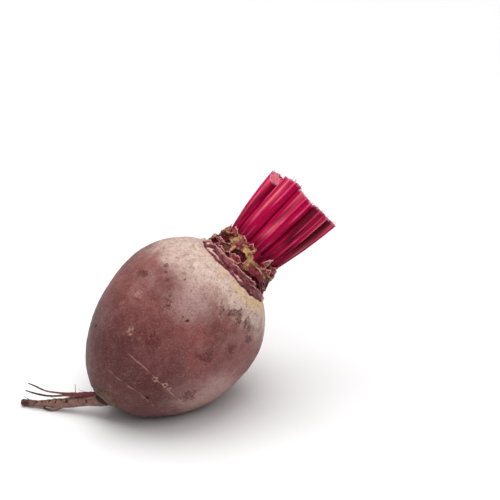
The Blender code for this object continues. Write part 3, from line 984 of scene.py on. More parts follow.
def torn_collar(surface):
    """Torn leaf skin that laps over the shoulder below the lip.

    Returns its relief, and masks of it, of the painted shade in its crevices and of its pale ribbon.
    """
    along, around, even = surface.along, surface.around, surface.even
    reach = collar_reach(around)
    share = reach / COLLAR_DEPTH
    ragged = 0.9 * MM * clouds(even, 5 * MM, 4, 61)
    inside = (along - along.max() + reach - ragged * share) / MM
    collar = smoothstep(-0.1, 0.25, inside) * smoothstep(0.05, 0.3, share)
    wander = 0.8 * cloud(even, 7 * MM, 64)
    # Two crevices, dented in the relief and painted dark as shade
    shaded_crevice = hump(inside, 0.3, 0.42) + 0.9 * hump(inside, 2.6 + wander, 0.4)
    streaks = np.clip(0.6 + cloud(even, 4 * MM, 63) + 0.4 * cloud(even, 1.3 * MM, 68), 0.0, 1.0)
    left = 0.25 + 0.75 * smoothstep(0.3, -0.15, wrap(around - COLLAR_AROUND))
    ribbon = collar * left * streaks * hump(inside, 1.5 + wander, 0.42)
    relief = MM * (0.7 * ribbon - 0.7 * collar * shaded_crevice + 0.4 * collar * clouds(even, 2.2 * MM, 3, 65))
    return relief, collar, collar * np.clip(shaded_crevice, 0.0, 1.0), ribbon


def skin_blemishes(surface):
    """Corky lines, nodules, old scars, stains and pits: masks of cork and of stain, and their relief."""
    even = surface.even
    wander = 0.5 * MM * cloud(even, 7 * MM, 3)
    broken = np.clip(0.85 + 0.6 * cloud(even, 3.6 * MM, 5), 0.0, 1.0)
    cork, stain_and_shade, relief = np.zeros((3, *surface.radius.shape))
    for line in CORKY_LINES:
        mask = corky_line(surface, wander, line) * broken
        cork = np.maximum(cork, mask)
        relief += 0.16 * MM * mask
    for reach in ragged_spots(surface, NODULES, 0.5, 1.2 * MM, 1, 7):
        ring, hollow = hump(reach, 0.72, 0.36), hump(reach, 0.0, 0.32)
        cork = np.maximum(cork, 0.8 * ring)
        stain_and_shade = np.maximum(stain_and_shade, hollow)
        relief += 0.22 * MM * ring - 0.35 * MM * hollow
    flaky = 0.55 + 0.6 * cloud(even, 0.9 * MM, 10)
    for reach in ragged_spots(surface, SCARS, 0.3, 1.6 * MM, 1, 9):
        cork = np.maximum(cork, 0.75 * smoothstep(1.15, 0.7, reach) * flaky)
        relief += 0.18 * MM * hump(reach, 0.9, 0.25) - 0.2 * MM * smoothstep(0.9, 0.4, reach)
    for reach in ragged_spots(surface, STAINS, 0.9, 4.2 * MM, 4, 11):
        stain_and_shade = np.maximum(stain_and_shade, smoothstep(1.5, 0.1, reach))
    for reach in ragged_spots(surface, PITS, 0.2, 1.0 * MM, 1, 12):
        pit = smoothstep(1.2, 0.5, reach)
        stain_and_shade = np.maximum(stain_and_shade, 1.5 * pit)
        relief -= 0.6 * MM * pit
    return cork, stain_and_shade, relief


def skin_tints(surface):
    """Masks of where the skin is tan, golden, dark and covered in bloom.

    The dark towards the tail is painted shade, and the bloom carries a painted sheen highlight and painted
    shade on the top.
    """
    along, around, even = surface.along, surface.around, surface.even
    lip_distance = along.max() - along
    soft = clouds(even, 13 * MM, 3, 15)
    shade = 6 * MM * (1 - np.cos(around - 3.4))
    golden_side = hump(wrap(around - GOLD_AROUND), 0.0, 0.7)
    edge_distance = lip_distance - collar_reach(around) + 3.5 * MM * clouds(even, 6 * MM, 4, 17)
    gold = smoothstep(5.5 + 5 * golden_side, 0.5, edge_distance / MM)
    bloom_and_sheen = 0.25 * clouds(even, 16 * MM, 3, 27)
    for *spot, strength in BLOOM_AND_SHEEN_SPOTS:
        bloom_and_sheen = np.maximum(bloom_and_sheen, strength * smoothstep(1.25, 0.0, spot_reach(surface, spot) + 0.2 * soft))
    return {
        "shoulder": smoothstep(33 * MM, 0.0, lip_distance + 4 * MM * soft + shade),
        "gold": (0.45 + 0.65 * golden_side) * gold,
        "bloom_and_sheen": bloom_and_sheen,
        # Painted shade, darker towards the tail
        "tail_shade": smoothstep(2 * MM, -44 * MM, along + 7 * MM * soft),
    }


def skin_masks(surface):
    """Every mask of the skin, and how its marks raise it."""
    cork, stain_and_shade, relief = skin_blemishes(surface)
    masks = skin_tints(surface)
    fold_relief, olive, crease_shade, roll = tail_fold(surface)
    collar_relief, collar, shaded_crevice, ribbon = torn_collar(surface)
    cork = np.maximum(cork, 0.3 * roll * (0.5 + cloud(surface.even, 1.5 * MM, 19)))
    # The stain mask also takes the painted shade of the crease over the taproot and of the crevices below the
    # lip
    stain_and_shade = np.maximum(np.maximum(stain_and_shade, 1.4 * crease_shade) * (1 - collar), 1.5 * shaded_crevice)
    masks |= {"cork": cork, "stain_and_shade": stain_and_shade, "olive": olive, "collar": collar, "ribbon": ribbon}
    return masks, relief + fold_relief + collar_relief


def skin_relief(root, even):
    """Heights of the skin's own unevenness."""
    depth = root.roughness_depth
    fine = 0.3 * clouds(even, 2.6 * MM, 3, 23)
    relief = depth * (cloud(even, 15 * MM, 21) + 0.55 * cloud(even, 6.5 * MM, 22) + fine)
    ringed = even * np.array((0.16, 0.16, 1.0))
    return relief + 0.3 * depth * clouds(ringed, 1.9 * MM, 2, 25)


def lip_height(root, around):
    """How far the torn lip stands above or below its mean height."""
    ring = on_ring(20 * MM, around, 0.0)
    torn = cloud(ring, 7 * MM, 31) + 0.7 * cloud(ring, 2.4 * MM, 32) + 0.35 * cloud(ring, 1.0 * MM, 33)
    return root.lip_raggedness * torn


def skin_surface(root):
    """The skin's even surface from the tail to the lip, and the outward and upward parts of its normal."""
    turn = np.linspace(TAIL_TURN, root.lip_turn, SKIN_RINGS)[:, None]
    along, radius = root_outline(root, turn)
    slope_along = np.gradient(along[:, 0])[:, None]
    slope_radius = np.gradient(radius[:, 0])[:, None]
    steep = np.hypot(slope_along, slope_radius)
    along, radius, around = np.broadcast_arrays(along, radius, steps_around(SKIN_STEPS)[None, :])
    surface = Surface(along, around, radius, on_ring(radius, around, along))
    return surface, slope_along / steep, -slope_radius / steep


def skin_body(root, surface, raised, out, up):
    """The skin's points, and the radius of its last ring."""
    along, around, radius, even = surface
    relief = raised + skin_relief(root, even)
    relief *= smoothstep(0.0, 2.5 * MM, along.max() - along) * 0.8 + 0.2
    full = radius + swelling(root, along, around, radius)
    return on_ring(full + relief * out, around, along + relief * up), full[-1] + relief[-1] * out[-1]


def build_skin(root, colours):
    """The swollen root's skin with its ragged lip, closed inside the crown and inside the taproot."""
    surface, out, up = skin_surface(root)
    masks, raised = skin_masks(surface)
    body, rim = skin_body(root, surface, raised, out, up)
    around, lip_along = surface.around[0], float(surface.along.max())
    ragged = lip_height(root, around)
    inwards, rise, share, pale, dark = (values[:, None] for values in np.array(LIP_STEPS).T)
    lip = on_ring(rim - inwards * MM, around, lip_along + rise * MM + ragged * share)
    points = to_part(np.concatenate([body, lip]))
    points[..., 2] = np.maximum(points[..., 2], 0.0)
    for name, values in masks.items():
        masks[name] = np.concatenate([values, np.repeat(values[-1:], len(lip), axis=0)])
    near_lip = smoothstep(1.1 * MM, 0.0, lip_along - surface.along) * 0.5 * cloud(surface.even, 2 * MM, 35)
    torn_lip = pale * (0.7 + 0.4 * cloud(lip, 2 * MM, 36))
    masks["torn"] = np.clip(np.concatenate([near_lip, torn_lip]), 0, 1)
    # Painted shade in the crevice under the lip
    masks["stain_and_shade"][SKIN_RINGS:] = np.maximum(masks["stain_and_shade"][SKIN_RINGS:], dark)
    faces = ring_faces(len(points), SKIN_STEPS)
    piece = new_piece("root_skin", points.reshape(-1, 3), faces, skin_material(colours), masks)
    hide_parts("beetroot")


def crown_outline(crown, height):
    """The crown's even radius at this height above the lip."""
    share = np.clip((height - CROWN_FOOT) / (crown.height - CROWN_FOOT), 0.0, 1.0)
    return crown.top_radius + (crown.foot_radius - crown.top_radius) * (1 - share) ** 1.3


def leaf_scars():
    """Every leaf scar on the crown: height, angle, half width, half height, tilt and strength."""
    for height, angle, half_width, half_height, tilt, strength in FRONT_SCARS:
        yield height * MM, math.radians(angle), half_width * MM, half_height * MM, tilt, strength
    rng = np.random.default_rng(12)
    for height, count, first in SCAR_TIERS:
        for i in range(count):
            around = first + TAU * i / count + rng.uniform(-0.12, 0.12)
            scar_height = height + rng.uniform(-0.9, 0.9) * MM
            half_width = SCAR_HALF_WIDTH * rng.uniform(0.85, 1.35)
            half_height = SCAR_HALF_HEIGHT * rng.uniform(0.85, 1.4)
            tilt, strength = rng.uniform(-0.35, 0.35), rng.uniform(0.35, 1.0)
            if abs(wrap(around - FRONT_AROUND)) > FRONT_HALF:
                yield scar_height, around, half_width, half_height, tilt, strength


def sheath_relief(height, around, even):
    """Leaf bases that run down the crown: their relief, and masks of their flesh and golden rims."""
    relief, flesh, rims = np.zeros((3, *height.shape))
    rough = 0.4 * clouds(even, 2.6 * MM, 3, 67)
    for foot, angle, half_width in SHEATHS:
        share = wrap(around - math.radians(angle)) * SHEATH_RADIUS / half_width
        above_foot = height / MM - foot - 1.8 * share ** 2
        inside = np.minimum(above_foot, (1 - np.abs(share)) * half_width) + rough
        body = smoothstep(-0.1, 0.7, inside)
        rim = hump(inside, -0.45, 0.5)
        relief += MM * (0.5 * rim + body * (0.35 * np.cos(7 * share) - 0.5))
        flesh = np.maximum(flesh, body)
        rims = np.maximum(rims, rim)
    return relief, flesh, rims * (1 - flesh)


def scar_relief(height, around, even):
    """Relief of the leaf scars, and masks of their pits and rims."""
    relief, pits, rims = np.zeros((3, *height.shape))
    rough = 0.36 * clouds(even, 4.5 * MM, 3, 41)
    for scar_height, scar_around, half_width, half_height, tilt, strength in leaf_scars():
        across = wrap(around - scar_around) * CROWN_MIDDLE_RADIUS * MM
        bend = -0.54 * MM * (across / half_width) ** 2
        upward = (height - scar_height - tilt * across + bend) / half_height
        reach = np.hypot(across / half_width, upward) + rough
        lower_side = np.clip(0.6 - 0.45 * upward / np.maximum(reach, 1.0), 0.0, 1.0)
        rim = strength * lower_side * hump(reach, 1.08, 0.14)
        pit = smoothstep(1.04, 0.86, reach)
        relief += SCAR_RIM * rim - strength * SCAR_PIT * pit * (0.75 + 0.25 * np.clip(upward, -1, 1))
        pits = np.maximum(pits, pit * (0.4 + 0.6 * strength))
        rims = np.maximum(rims, rim * 1.1)
    return relief, pits, np.clip(rims, 0, 1)


def crown_hollow(crown, ring, rim, wander, lip_along):
    """Rings of the hollow that holds the stalks, from the crown's rim to the middle of the hollow's floor."""
    top = lip_along + crown.height
    rim_rise = 0.35 * MM * clouds(on_ring(crown.hollow_radius, ring, top), 2.0 * MM, 3, 51)
    rings = [
        on_ring(mix(rim, crown.hollow_radius, 0.5), ring, top + wander + 0.25 * MM + rim_rise),
        on_ring(crown.hollow_radius, ring, top + wander * 0.5),
    ]
    for share in np.linspace(0.2, 1.0, 8):
        level = mix(crown.height, crown.hollow_floor, share)
        rings.append(on_ring(crown.hollow_radius, ring, lip_along + level))
    for share in np.linspace(0.95, 0.04, 26):
        level = on_ring(crown.hollow_radius * share, ring, lip_along + crown.hollow_floor)
        level[..., 2] += 0.14 * MM * clouds(level, 1.6 * MM, 3, 53) - 0.12 * MM
        rings.append(level)
    return np.array(rings)


def golden_cork(height, around, even):
    """Where the crown's cork is golden rather than brown."""
    golden = smoothstep(10.5 * MM, 13.0 * MM, height) + 0.8 * clouds(even, 7 * MM, 2, 55)
    golden = golden + 0.2 * np.cos(around - 3.5)
    for place, angle, size in GOLDEN_CORK:
        across = wrap(around - math.radians(angle)) * CROWN_MIDDLE_RADIUS
        golden = golden + 1.5 * hump(np.hypot(height / MM - place, across), 0.0, size)
    return golden


def build_crown(root, crown, colours):
    """The crown of old leaf bases, from the crevice to its rim, and the hollow that holds the stalks."""
    lip_along = lip_place(root)
    around = np.broadcast_to(steps_around(CROWN_STEPS), (CROWN_RINGS, CROWN_STEPS))
    height = np.broadcast_to(np.linspace(CROWN_FOOT, crown.height, CROWN_RINGS)[:, None], around.shape)
    radius = crown_outline(crown, height)
    even = on_ring(radius, around, lip_along + height)
    relief, pits, rims = scar_relief(height, around, even)
    sheath_rise, sheath, sheath_rim = sheath_relief(height, around, even)
    bare = 1 - np.maximum(sheath, sheath_rim)
    relief, pits, rims = relief * bare + sheath_rise, pits * bare, rims * bare
    cork = 0.45 * MM * clouds(even, 3.6 * MM, 3, 43) + 0.22 * MM * np.abs(cloud(even, 1.1 * MM, 45))
    inside = 0.14 * MM * clouds(even, 2.2 * MM, 3, 47)
    relief = relief + np.where(pits > 0.5, inside, cork * (1 - pits))
    fade = smoothstep(0.0, 1.5 * MM, height - CROWN_FOOT)
    full = np.maximum(radius + relief * fade, crown.hollow_radius + 0.5 * MM)
    wander = 0.5 * MM * clouds(even, 3.0 * MM, 3, 49) * smoothstep(0.0, 3 * MM, height)
    outer = on_ring(full, around, lip_along + height + wander)
    hollow = crown_hollow(crown, around[0], full[-1], wander[-1], lip_along)
    golden = golden_cork(height, around, even) + 1.8 * sheath_rim
    masks = {"pit": pits, "rim": rims, "golden": golden, "sheath": sheath}
    for name, values in masks.items():
        # The hollow takes painted shade through the pit mask
        hollow_shade = HOLLOW_SHADE if name == "pit" else 0.0
        masks[name] = np.concatenate([values, np.full(hollow.shape[:2], hollow_shade)])
    points = to_part(np.concatenate([outer, hollow]))
    faces = ring_faces(len(points), CROWN_STEPS)
    piece = new_piece("crown", points.reshape(-1, 3), faces, crown_material(colours), masks)
    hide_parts("beetroot")


def lip_place(root):
    """Place of the lip along the root's axis."""
    return -root.shoulder_length * math.cos(root.lip_turn)


def torn_tongue(rng, foot, outwards, upwards, width, height, thickness, pallor):
    """Points and faces of a torn tongue of leaf base that curls outwards, and a mask of its torn edge."""
    columns, rows = 17, 11
    across = np.linspace(-1.0, 1.0, columns)[None, :]
    up = np.linspace(0.0, 1.0, rows)[:, None]
    sideways = np.cross(upwards, outwards)
    seed = rng.uniform(0, 50)
    line = np.stack([across[0] * 3, np.full(columns, seed), np.zeros(columns)], axis=-1)
    torn = 0.8 + 0.3 * cloud(line, 1.5, 1) + 0.1 * cloud(line, 0.5, 2)
    crest = np.clip(torn, 0.3, 1.15)[None, :] * np.sqrt(np.clip(1.02 - across ** 2, 0.05, 1.0))
    curl = rng.uniform(0.0, 0.25)
    bulge = 0.1 * height * np.sin(3 * across + seed) * up - 0.26 * width * across ** 2
    middle = (
        foot + sideways * (across * width / 2 * (1 - 0.12 * up))[..., None]
        + upwards * (height * up * crest - 0.15 * height)[..., None]
        + outwards * (bulge + curl * height * up ** 2)[..., None]
    )
    thin = thickness * (1 - 0.7 * up ** 1.5) * (1 - 0.55 * across ** 2) + 0.12 * MM
    points, faces = shell(middle, np.broadcast_to(thin, (rows, columns)))
    edge = smoothstep(0.72, 1.0, up) + 0.3 * smoothstep(0.85, 1.0, np.abs(across)) + pallor
    edge = np.clip(edge, 0.0, 1.0)
    return points, faces, np.tile(np.broadcast_to(edge, (rows, columns)).ravel(), 2)


def flakes_along_lip(rng):
    """Short flakes along the lip: each one's angle, height, lean, width, rise, thickness, sink and pallor."""
    for i in range(LIP_FLAKES):
        around = TAU * (i + rng.uniform(-0.3, 0.3)) / LIP_FLAKES
        height, lean = rng.uniform(-0.6, 0.5) * MM, rng.uniform(0.15, 0.6)
        width, rise = rng.uniform(6.0, 12.0) * MM, rng.uniform(2.4, 4.2) * MM
        thickness = rng.uniform(0.3, 0.6) * MM
        pallor = (0.15 + 0.7 * hump(wrap(around - RIBBON_AROUND), 0.0, 0.6)) * rng.uniform(0.7, 1.2)
        yield around, height, lean, width, rise, thickness, -0.2 * MM, pallor


def tongues_on_crown(rng):
    """Torn remains on the front, shreds below half of the scars, and tongues round the stalks' feet."""
    for angle, height, width, rise, lean, pallor in FRONT_REMAINS:
        yield math.radians(angle), height * MM, lean, width * MM, rise * MM, 0.6 * MM, 0.1 * MM, pallor
    for scar_height, scar_around, half_width, half_height, *_ in leaf_scars():
        if rng.random() < 0.5:
            yield (scar_around, scar_height - half_height * 1.2, rng.uniform(0.1, 0.35), half_width * 1.9,
                   rng.uniform(2.4, 4.2) * MM, rng.uniform(0.5, 0.9) * MM, 0.1 * MM, 0.0)
    for i in range(FOOT_TONGUES):
        around = TAU * (i + rng.uniform(-0.25, 0.25)) / FOOT_TONGUES + 0.2
        if abs(wrap(around - BARE_AROUND)) > 0.35:
            height, lean = rng.uniform(11.6, 12.8) * MM, rng.uniform(-0.08, 0.1)
            width, rise = rng.uniform(4.5, 8.0) * MM, rng.uniform(2.4, 5.4) * MM
            yield around, height, lean, width, rise, rng.uniform(0.4, 0.8) * MM, 0.1 * MM, 0.0


def build_torn_bases(root, crown, colours):
    """Torn remains of leaf bases along the lip and on the crown."""
    rng = np.random.default_rng(5)
    bundle = Bundle()
    axis = np.array((0.0, 0.0, 1.0))
    for tongue in itertools.chain(flakes_along_lip(rng), tongues_on_crown(rng)):
        angle, height, lean, width, rise, thickness, sink, pallor = tongue
        outwards = np.array((math.cos(angle), math.sin(angle), 0.0))
        upwards = axis * math.cos(lean) + outwards * math.sin(lean)
        facing = outwards * math.cos(lean) - axis * math.sin(lean)
        radius = crown_outline(crown, np.array(height)) - sink
        foot = outwards * radius + axis * (lip_place(root) + height)
        points, faces, edge = torn_tongue(rng, foot, facing, upwards, width, rise, thickness, pallor)
        bundle.add(to_part(points), faces, edge=edge)
    bundle.piece("torn_leaf_bases", torn_material(colours))


def stalk_section(width, thickness, around, ribs, rib_depth):
    """A stalk's outline and a mask of its ribs. Its ribbed back is at +X, and its channelled front at -X."""
    back, side = np.cos(around), np.sin(around)
    x = thickness / 2 * np.sign(back) * np.abs(back) ** 0.8
    y = width / 2 * np.sign(side) * np.abs(side) ** 0.9 * (1 + STALK_KEYSTONE * back)
    wave = np.cos(TAU * ribs * y / width)
    outside = np.clip(back, 0.0, 1.0)
    x = x + rib_depth * outside * wave + STALK_CHANNEL * np.clip(-back, 0.0, 1.0) ** 2
    return x, y, smoothstep(0.2, 1.0, wave) * smoothstep(0.05, 0.5, outside)


def stalk_side(stalk, ribs, seed, sizes):
    """A stalk's side in its own frame, ring by ring, the mask of its ribs, and how its cut edge is frayed."""
    _, foot_distance, cut_distance, width, thickness, length, slope = stalk
    x, y, rib = stalk_section(width * MM, thickness * MM, steps_around(STALK_STEPS), ribs, sizes.rib_depth)
    share = np.linspace(0.0, 1.0, STALK_RINGS)[:, None]
    lean = (cut_distance - foot_distance) * MM * share + STALK_BOW * np.sin(math.pi * share)
    even = np.stack(np.broadcast_arrays(x, y, share * 2.2 * MM), axis=-1)
    strand = cloud(even + seed * MM, 0.55 * MM, seed)
    grown = (1 + STALK_SPREAD * share) * (1 + strand * sizes.strand_depth / (thickness * MM / 2))
    top = length * MM + slope * (y * grown)[-1] * smoothstep(0.75, 1.0, share)
    side = np.stack(np.broadcast_arrays(x * grown + lean, y * grown, top * share), axis=-1)
    frayed = 0.2 * MM * clouds(side[-1] + seed, 1.1 * MM, 3, seed + 60)
    side[-1, :, 2] += frayed
    side[-2, :, 2] += 0.6 * frayed
    return side, rib, frayed


def stalk_cut(rim, slope, frayed, seed):
    """Rings of a stalk's cut, from its edge to its middle."""
    centre = rim.mean(axis=0)
    rings = []
    for inset in CUT_INSETS:
        ring = centre + (rim - centre) * inset
        ring[:, 2] = centre[2] + slope * (ring[:, 1] - centre[1]) + frayed * inset ** 6
        ring[:, 2] += 0.12 * MM * clouds(ring + seed, 0.9 * MM, 3, seed + 70) - 0.35 * MM * (1 - inset ** 2)
        rings.append(ring)
    return np.array(rings)


def stalk_masks(rib, seed):
    """Masks of a stalk's side and of its cut."""
    around = steps_around(STALK_STEPS)
    share = np.linspace(0.0, 1.0, STALK_RINGS)[:, None]
    inset = CUT_INSETS[:, None]
    tone_and_light = STALK_TONES_AND_LIGHT[seed]
    # A painted highlight streak along each stalk
    off_highlight = wrap(around - 0.7 * math.sin(2.4 * seed + 1)) + 0.12 * np.sin(5 * share + seed)
    streak = hump(off_highlight, 0.0, 0.16) * (0.6 + 0.4 * np.sin(7 * share + 3 * seed))
    streak = streak * smoothstep(0.12, 0.4, share)
    vein = hump(inset, 0.66, 0.13) * smoothstep(0.55, 0.95, np.cos(9 * around + seed))
    masks = {
        "rib": (rib, 0.0),
        "tone_and_light": (tone_and_light, tone_and_light),
        "streak": (streak * tone_and_light, 0.0),
        # Painted shade towards the foot
        "foot": (smoothstep(0.45, 0.0, share), 0.0),
        "cut": (0.5 * smoothstep(0.985, 1.0, share), 1 - 0.6 * smoothstep(0.76, 0.92, inset)),
        "fray": (0.7 * smoothstep(0.965, 1.0, share), 0.45 * smoothstep(0.84, 0.96, inset)),
        "vein": (0.0, vein),
    }
    sizes = ((STALK_RINGS, STALK_STEPS), (len(CUT_INSETS), STALK_STEPS))
    return {name: np.concatenate([*map(np.broadcast_to, values, sizes)]) for name, values in masks.items()}


def build_stalk(name, stalk, ribs, seed, root, crown, sizes, finish):
    """One cut leaf stalk, with fine strands and an uneven cut. Returns the cut's edge and the pose."""
    side, rib, frayed = stalk_side(stalk, ribs, seed, sizes)
    points = np.concatenate([side, stalk_cut(side[-1], stalk[-1], frayed, seed)])
    turn = math.radians(stalk[0])
    foot = on_ring(stalk[1] * MM, turn, lip_place(root) + crown.hollow_floor + STALK_GAP)
    pose = ROOT_POSE @ Matrix.Translation(Vector(foot)) @ Matrix.Rotation(turn, 4, "Z")
    faces = ring_faces(len(points), STALK_STEPS)
    piece = new_piece(name + "_flesh", points.reshape(-1, 3), faces, finish, stalk_masks(rib, seed), pose)
    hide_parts(name)
    return side[-1], pose


def build_fibres(cuts, sizes, colours):
    """Thin torn fibres that stand up from the edges of the cuts."""
    rng = np.random.default_rng(8)
    bundle = Bundle()
    share = np.linspace(0, 1, FIBRE_RINGS)[:, None]
    for rim, pose in cuts:
        place = np.array(pose)
        centre = rim.mean(axis=0)
        for _ in range(sizes.fibres):
            start = rim[rng.integers(len(rim))]
            start = start + (centre - start) * rng.uniform(0.0, 0.3) + np.array((0, 0, -0.5 * MM))
            reach = sizes.fibre_length * rng.uniform(0.3, 1.0)
            splay = (start - centre) / (np.linalg.norm(start - centre) + 1e-9) * rng.uniform(-0.2, 0.7)
            lean = np.array((splay[0], splay[1], 1.0)) + np.append(rng.uniform(-0.35, 0.35, 2), 0)
            bend = np.append(rng.uniform(-0.3, 0.3, 2), 0) * reach
            centres = start + lean * reach * share + bend * share ** 2
            centres = centres @ place[:3, :3].T + place[:3, 3]
            radii = np.linspace(1.0, 0.3, FIBRE_RINGS) * rng.uniform(0.12, 0.3) * MM
            bundle.add(tube(centres, radii, HAIR_STEPS).reshape(-1, 3), ring_faces(FIBRE_RINGS, HAIR_STEPS))
    bundle.piece("cut_fibres", fibre_material(colours))


def bark_notches(run, around, even):
    """A mask of the notches across the taproot's bark: scattered ones, and the dark ones on its front."""
    notch = np.zeros(even.shape[:2])
    rng = np.random.default_rng(21)
    for _ in range(26):
        place, turned = rng.uniform(8 * MM, run[-1, 0] - 2 * MM), rng.uniform(0, TAU)
        slant = rng.uniform(-0.5, 0.5) * MM
        span = wrap(around - turned) / rng.uniform(0.35, 0.9)
        mark = hump(run, place + slant * span, rng.uniform(0.2, 0.38) * MM) * np.exp(-span ** 4)
        notch = np.maximum(notch, mark * rng.uniform(0.5, 1.0))
    for place, turned, half_span, half_width in ROOT_NOTCHES:
        span = wrap(around - math.radians(turned)) / half_span
        off_middle = (run / MM - place - 0.6 * np.abs(span)) / half_width + 0.5 * cloud(even, 1.1 * MM, 89)
        notch = np.maximum(notch, np.exp(-off_middle ** 2 - span ** 4))
    return notch


def taproot_darkness(run, around, even, notch, wrinkle, tip):
    """A mask of the taproot's dark notches, cracks and tip, and of the painted shade where the skin laps over
    it.
    """
    cracks = np.clip(notch * 1.4 + smoothstep(0.35, 0.8, -wrinkle) * 0.2, 0, 1)
    # Painted shade: dark in the crease where the skin laps over the taproot, fading along its throat
    border = (7.8 + 1.6 * np.cos(around - 0.5)) * MM
    crease_shade = smoothstep(border + 1.7 * MM, border + 0.4 * MM, run)
    shaded_throat = smoothstep(19 * MM, 9 * MM, run) * 0.35 + crease_shade
    return np.clip(np.maximum(cracks, tip * (0.55 + 0.5 * cloud(even, 2 * MM, 87))) + shaded_throat, 0, 1)


def build_taproot(finish):
    """The taproot, with cross notches, a wrinkled bark and a dark blunt end."""
    centres, radii = smooth_route(*TAPROOT, 34)
    around = steps_around(TAPROOT_STEPS)[None, :]
    run = np.append(0, np.cumsum(np.linalg.norm(np.diff(centres, axis=0), axis=1)))[:, None]
    even = tube(centres, radii, TAPROOT_STEPS)
    round_x, round_y = np.cos(around) * 1.2 * MM, np.sin(around) * 1.2 * MM
    ringed = np.stack(np.broadcast_arrays(run, round_x, round_y), axis=-1)
    wrinkle = clouds(ringed, 1.5 * MM, 3, 81)
    notch = bark_notches(run, around, even)
    tip = smoothstep(run[-1] - 7 * MM, run[-1] - 1 * MM, run)
    relief = 0.16 * wrinkle + 0.2 * cloud(even, 5 * MM, 83) - 0.35 * notch
    relief = relief + 0.22 * tip * clouds(even, 1.6 * MM, 3, 85)
    points = tube(centres, radii[:, None] + relief * MM, TAPROOT_STEPS)
    heading = centres[-1] - centres[-2]
    heading /= np.linalg.norm(heading)
    inset = np.array(TAPROOT_END_INSETS)[:, None, None]
    end = (points[-1] - centres[-1]) * inset + centres[-1] + heading * 1.3 * MM * np.sqrt(1 - inset ** 2)
    points = np.concatenate([points, end])
    points[..., 2] = np.maximum(points[..., 2], 0.02 * MM)
    dark = taproot_darkness(run, around, even, notch, wrinkle, tip)
    at_end = np.ones(end.shape[:2])
    masks = {
        "dark": np.concatenate([dark, at_end * 0.8]),
        "reddish": np.concatenate([np.broadcast_to(tip * 0.7, notch.shape), at_end]),
    }
    faces = ring_faces(len(points), TAPROOT_STEPS)
    piece = new_piece("taproot", points.reshape(-1, 3), faces, finish, masks)
    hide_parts("beetroot")


def add_thick_side_roots(bundle):
    """The side roots that leave the upper taproot, red where they start and dark at their ends."""
    for number, (points, radii) in enumerate(SIDE_ROOTS):
        centres, thick = smooth_route(points, radii, 16)
        even = tube(centres, thick, SIDE_ROOT_STEPS)
        uneven = thick[:, None] * (1 + 0.16 * clouds(even, 1.3 * MM, 3, 90 + number))
        share = np.linspace(0, 1, len(centres))[:, None]
        red = smoothstep(0.62, 0.3, share) if number < RED_SIDE_ROOTS else 0.2 * share
        dark = smoothstep(0.3, 0.85, share) * 0.85
        red, dark = (np.broadcast_to(values, even.shape[:2]).ravel() for values in (red, dark))
        points = tube(centres, uneven, SIDE_ROOT_STEPS).reshape(-1, 3)
        bundle.add(points, ring_faces(len(centres), SIDE_ROOT_STEPS), dark=dark, reddish=red)


def add_rootlets(bundle):
    """Hair-thin rootlets on the taproot."""
    rng = np.random.default_rng(33)
    centres, radii = smooth_route(*TAPROOT, 12)
    sides, thirds = route_frames(centres)
    share = np.linspace(0, 1, ROOTLET_RINGS)[:, None]
    for _ in range(16):
        at = rng.integers(18, len(centres) - 4)
        turned = rng.uniform(-0.4, math.pi + 0.4)
        away = math.cos(turned) * thirds[at] + math.sin(turned) * sides[at]
        onward = centres[at + 1] - centres[at]
        onward /= np.linalg.norm(onward)
        reach = rng.uniform(2.0, 6.5) * MM
        curl = np.array((rng.uniform(-0.4, 0.4), rng.uniform(-0.4, 0.4), rng.uniform(-0.5, 0.2)))
        start = centres[at] + away * radii[at] * 0.8
        hair = start + (away * 0.7 + onward) * reach * share * 0.7 + curl * reach * share ** 2
        hair[:, 2] = np.maximum(hair[:, 2], 0.2 * MM)
        thin = np.linspace(1.0, 0.45, ROOTLET_RINGS) * rng.uniform(0.11, 0.18) * MM
        points = tube(hair, thin, HAIR_STEPS).reshape(-1, 3)
        bundle.add(points, ring_faces(ROOTLET_RINGS, HAIR_STEPS), dark=0.7, reddish=0.1)


def build_side_roots(finish):
    """The thicker side roots, and hair-thin rootlets on the taproot."""
    bundle = Bundle()
    add_thick_side_roots(bundle)
    add_rootlets(bundle)
    piece = bundle.piece("side_roots", finish)
    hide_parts("beetroot")


def add_light(name, power, size, spot):
    """A square softbox that faces the root."""
    light = bpy.data.lights.new(name, "AREA")
    light.energy = power
    light.size = size
    holder = bpy.data.objects.new(name, light)
    holder.location = spot
    holder.rotation_euler = (ROOT_CENTRE - Vector(spot)).to_track_quat("-Z", "Y").to_euler()
    bpy.context.scene.collection.objects.link(holder)


def add_camera(stage):
    """The camera at the photograph's angle and scale, with the root's middle on its pixel."""
    right = Vector((math.cos(stage.azimuth), -math.sin(stage.azimuth), 0))
    level = Vector((math.sin(stage.azimuth), math.cos(stage.azimuth), 0))
    ahead = level * math.cos(stage.elevation) - Vector((0, 0, math.sin(stage.elevation)))
    up = right.cross(ahead)
    distance = IMAGE_SIZE / 2 / math.tan(stage.field_of_view / 2) * stage.size_per_pixel
    off_right = (ROOT_CENTRE_PIXEL[0] - IMAGE_SIZE / 2) * stage.size_per_pixel
    off_up = (IMAGE_SIZE / 2 - ROOT_CENTRE_PIXEL[1]) * stage.size_per_pixel
    camera = bpy.data.cameras.new("camera")
    camera.sensor_width = 36
    camera.angle = stage.field_of_view
    camera.clip_end = 20
    holder = bpy.data.objects.new("camera", camera)
    spot = ROOT_CENTRE - right * off_right - up * off_up - ahead * distance
    holder.matrix_world = Matrix.Translation(spot) @ Matrix((right, up, -ahead)).transposed().to_4x4()
    bpy.context.scene.collection.objects.link(holder)
    bpy.context.scene.camera = holder


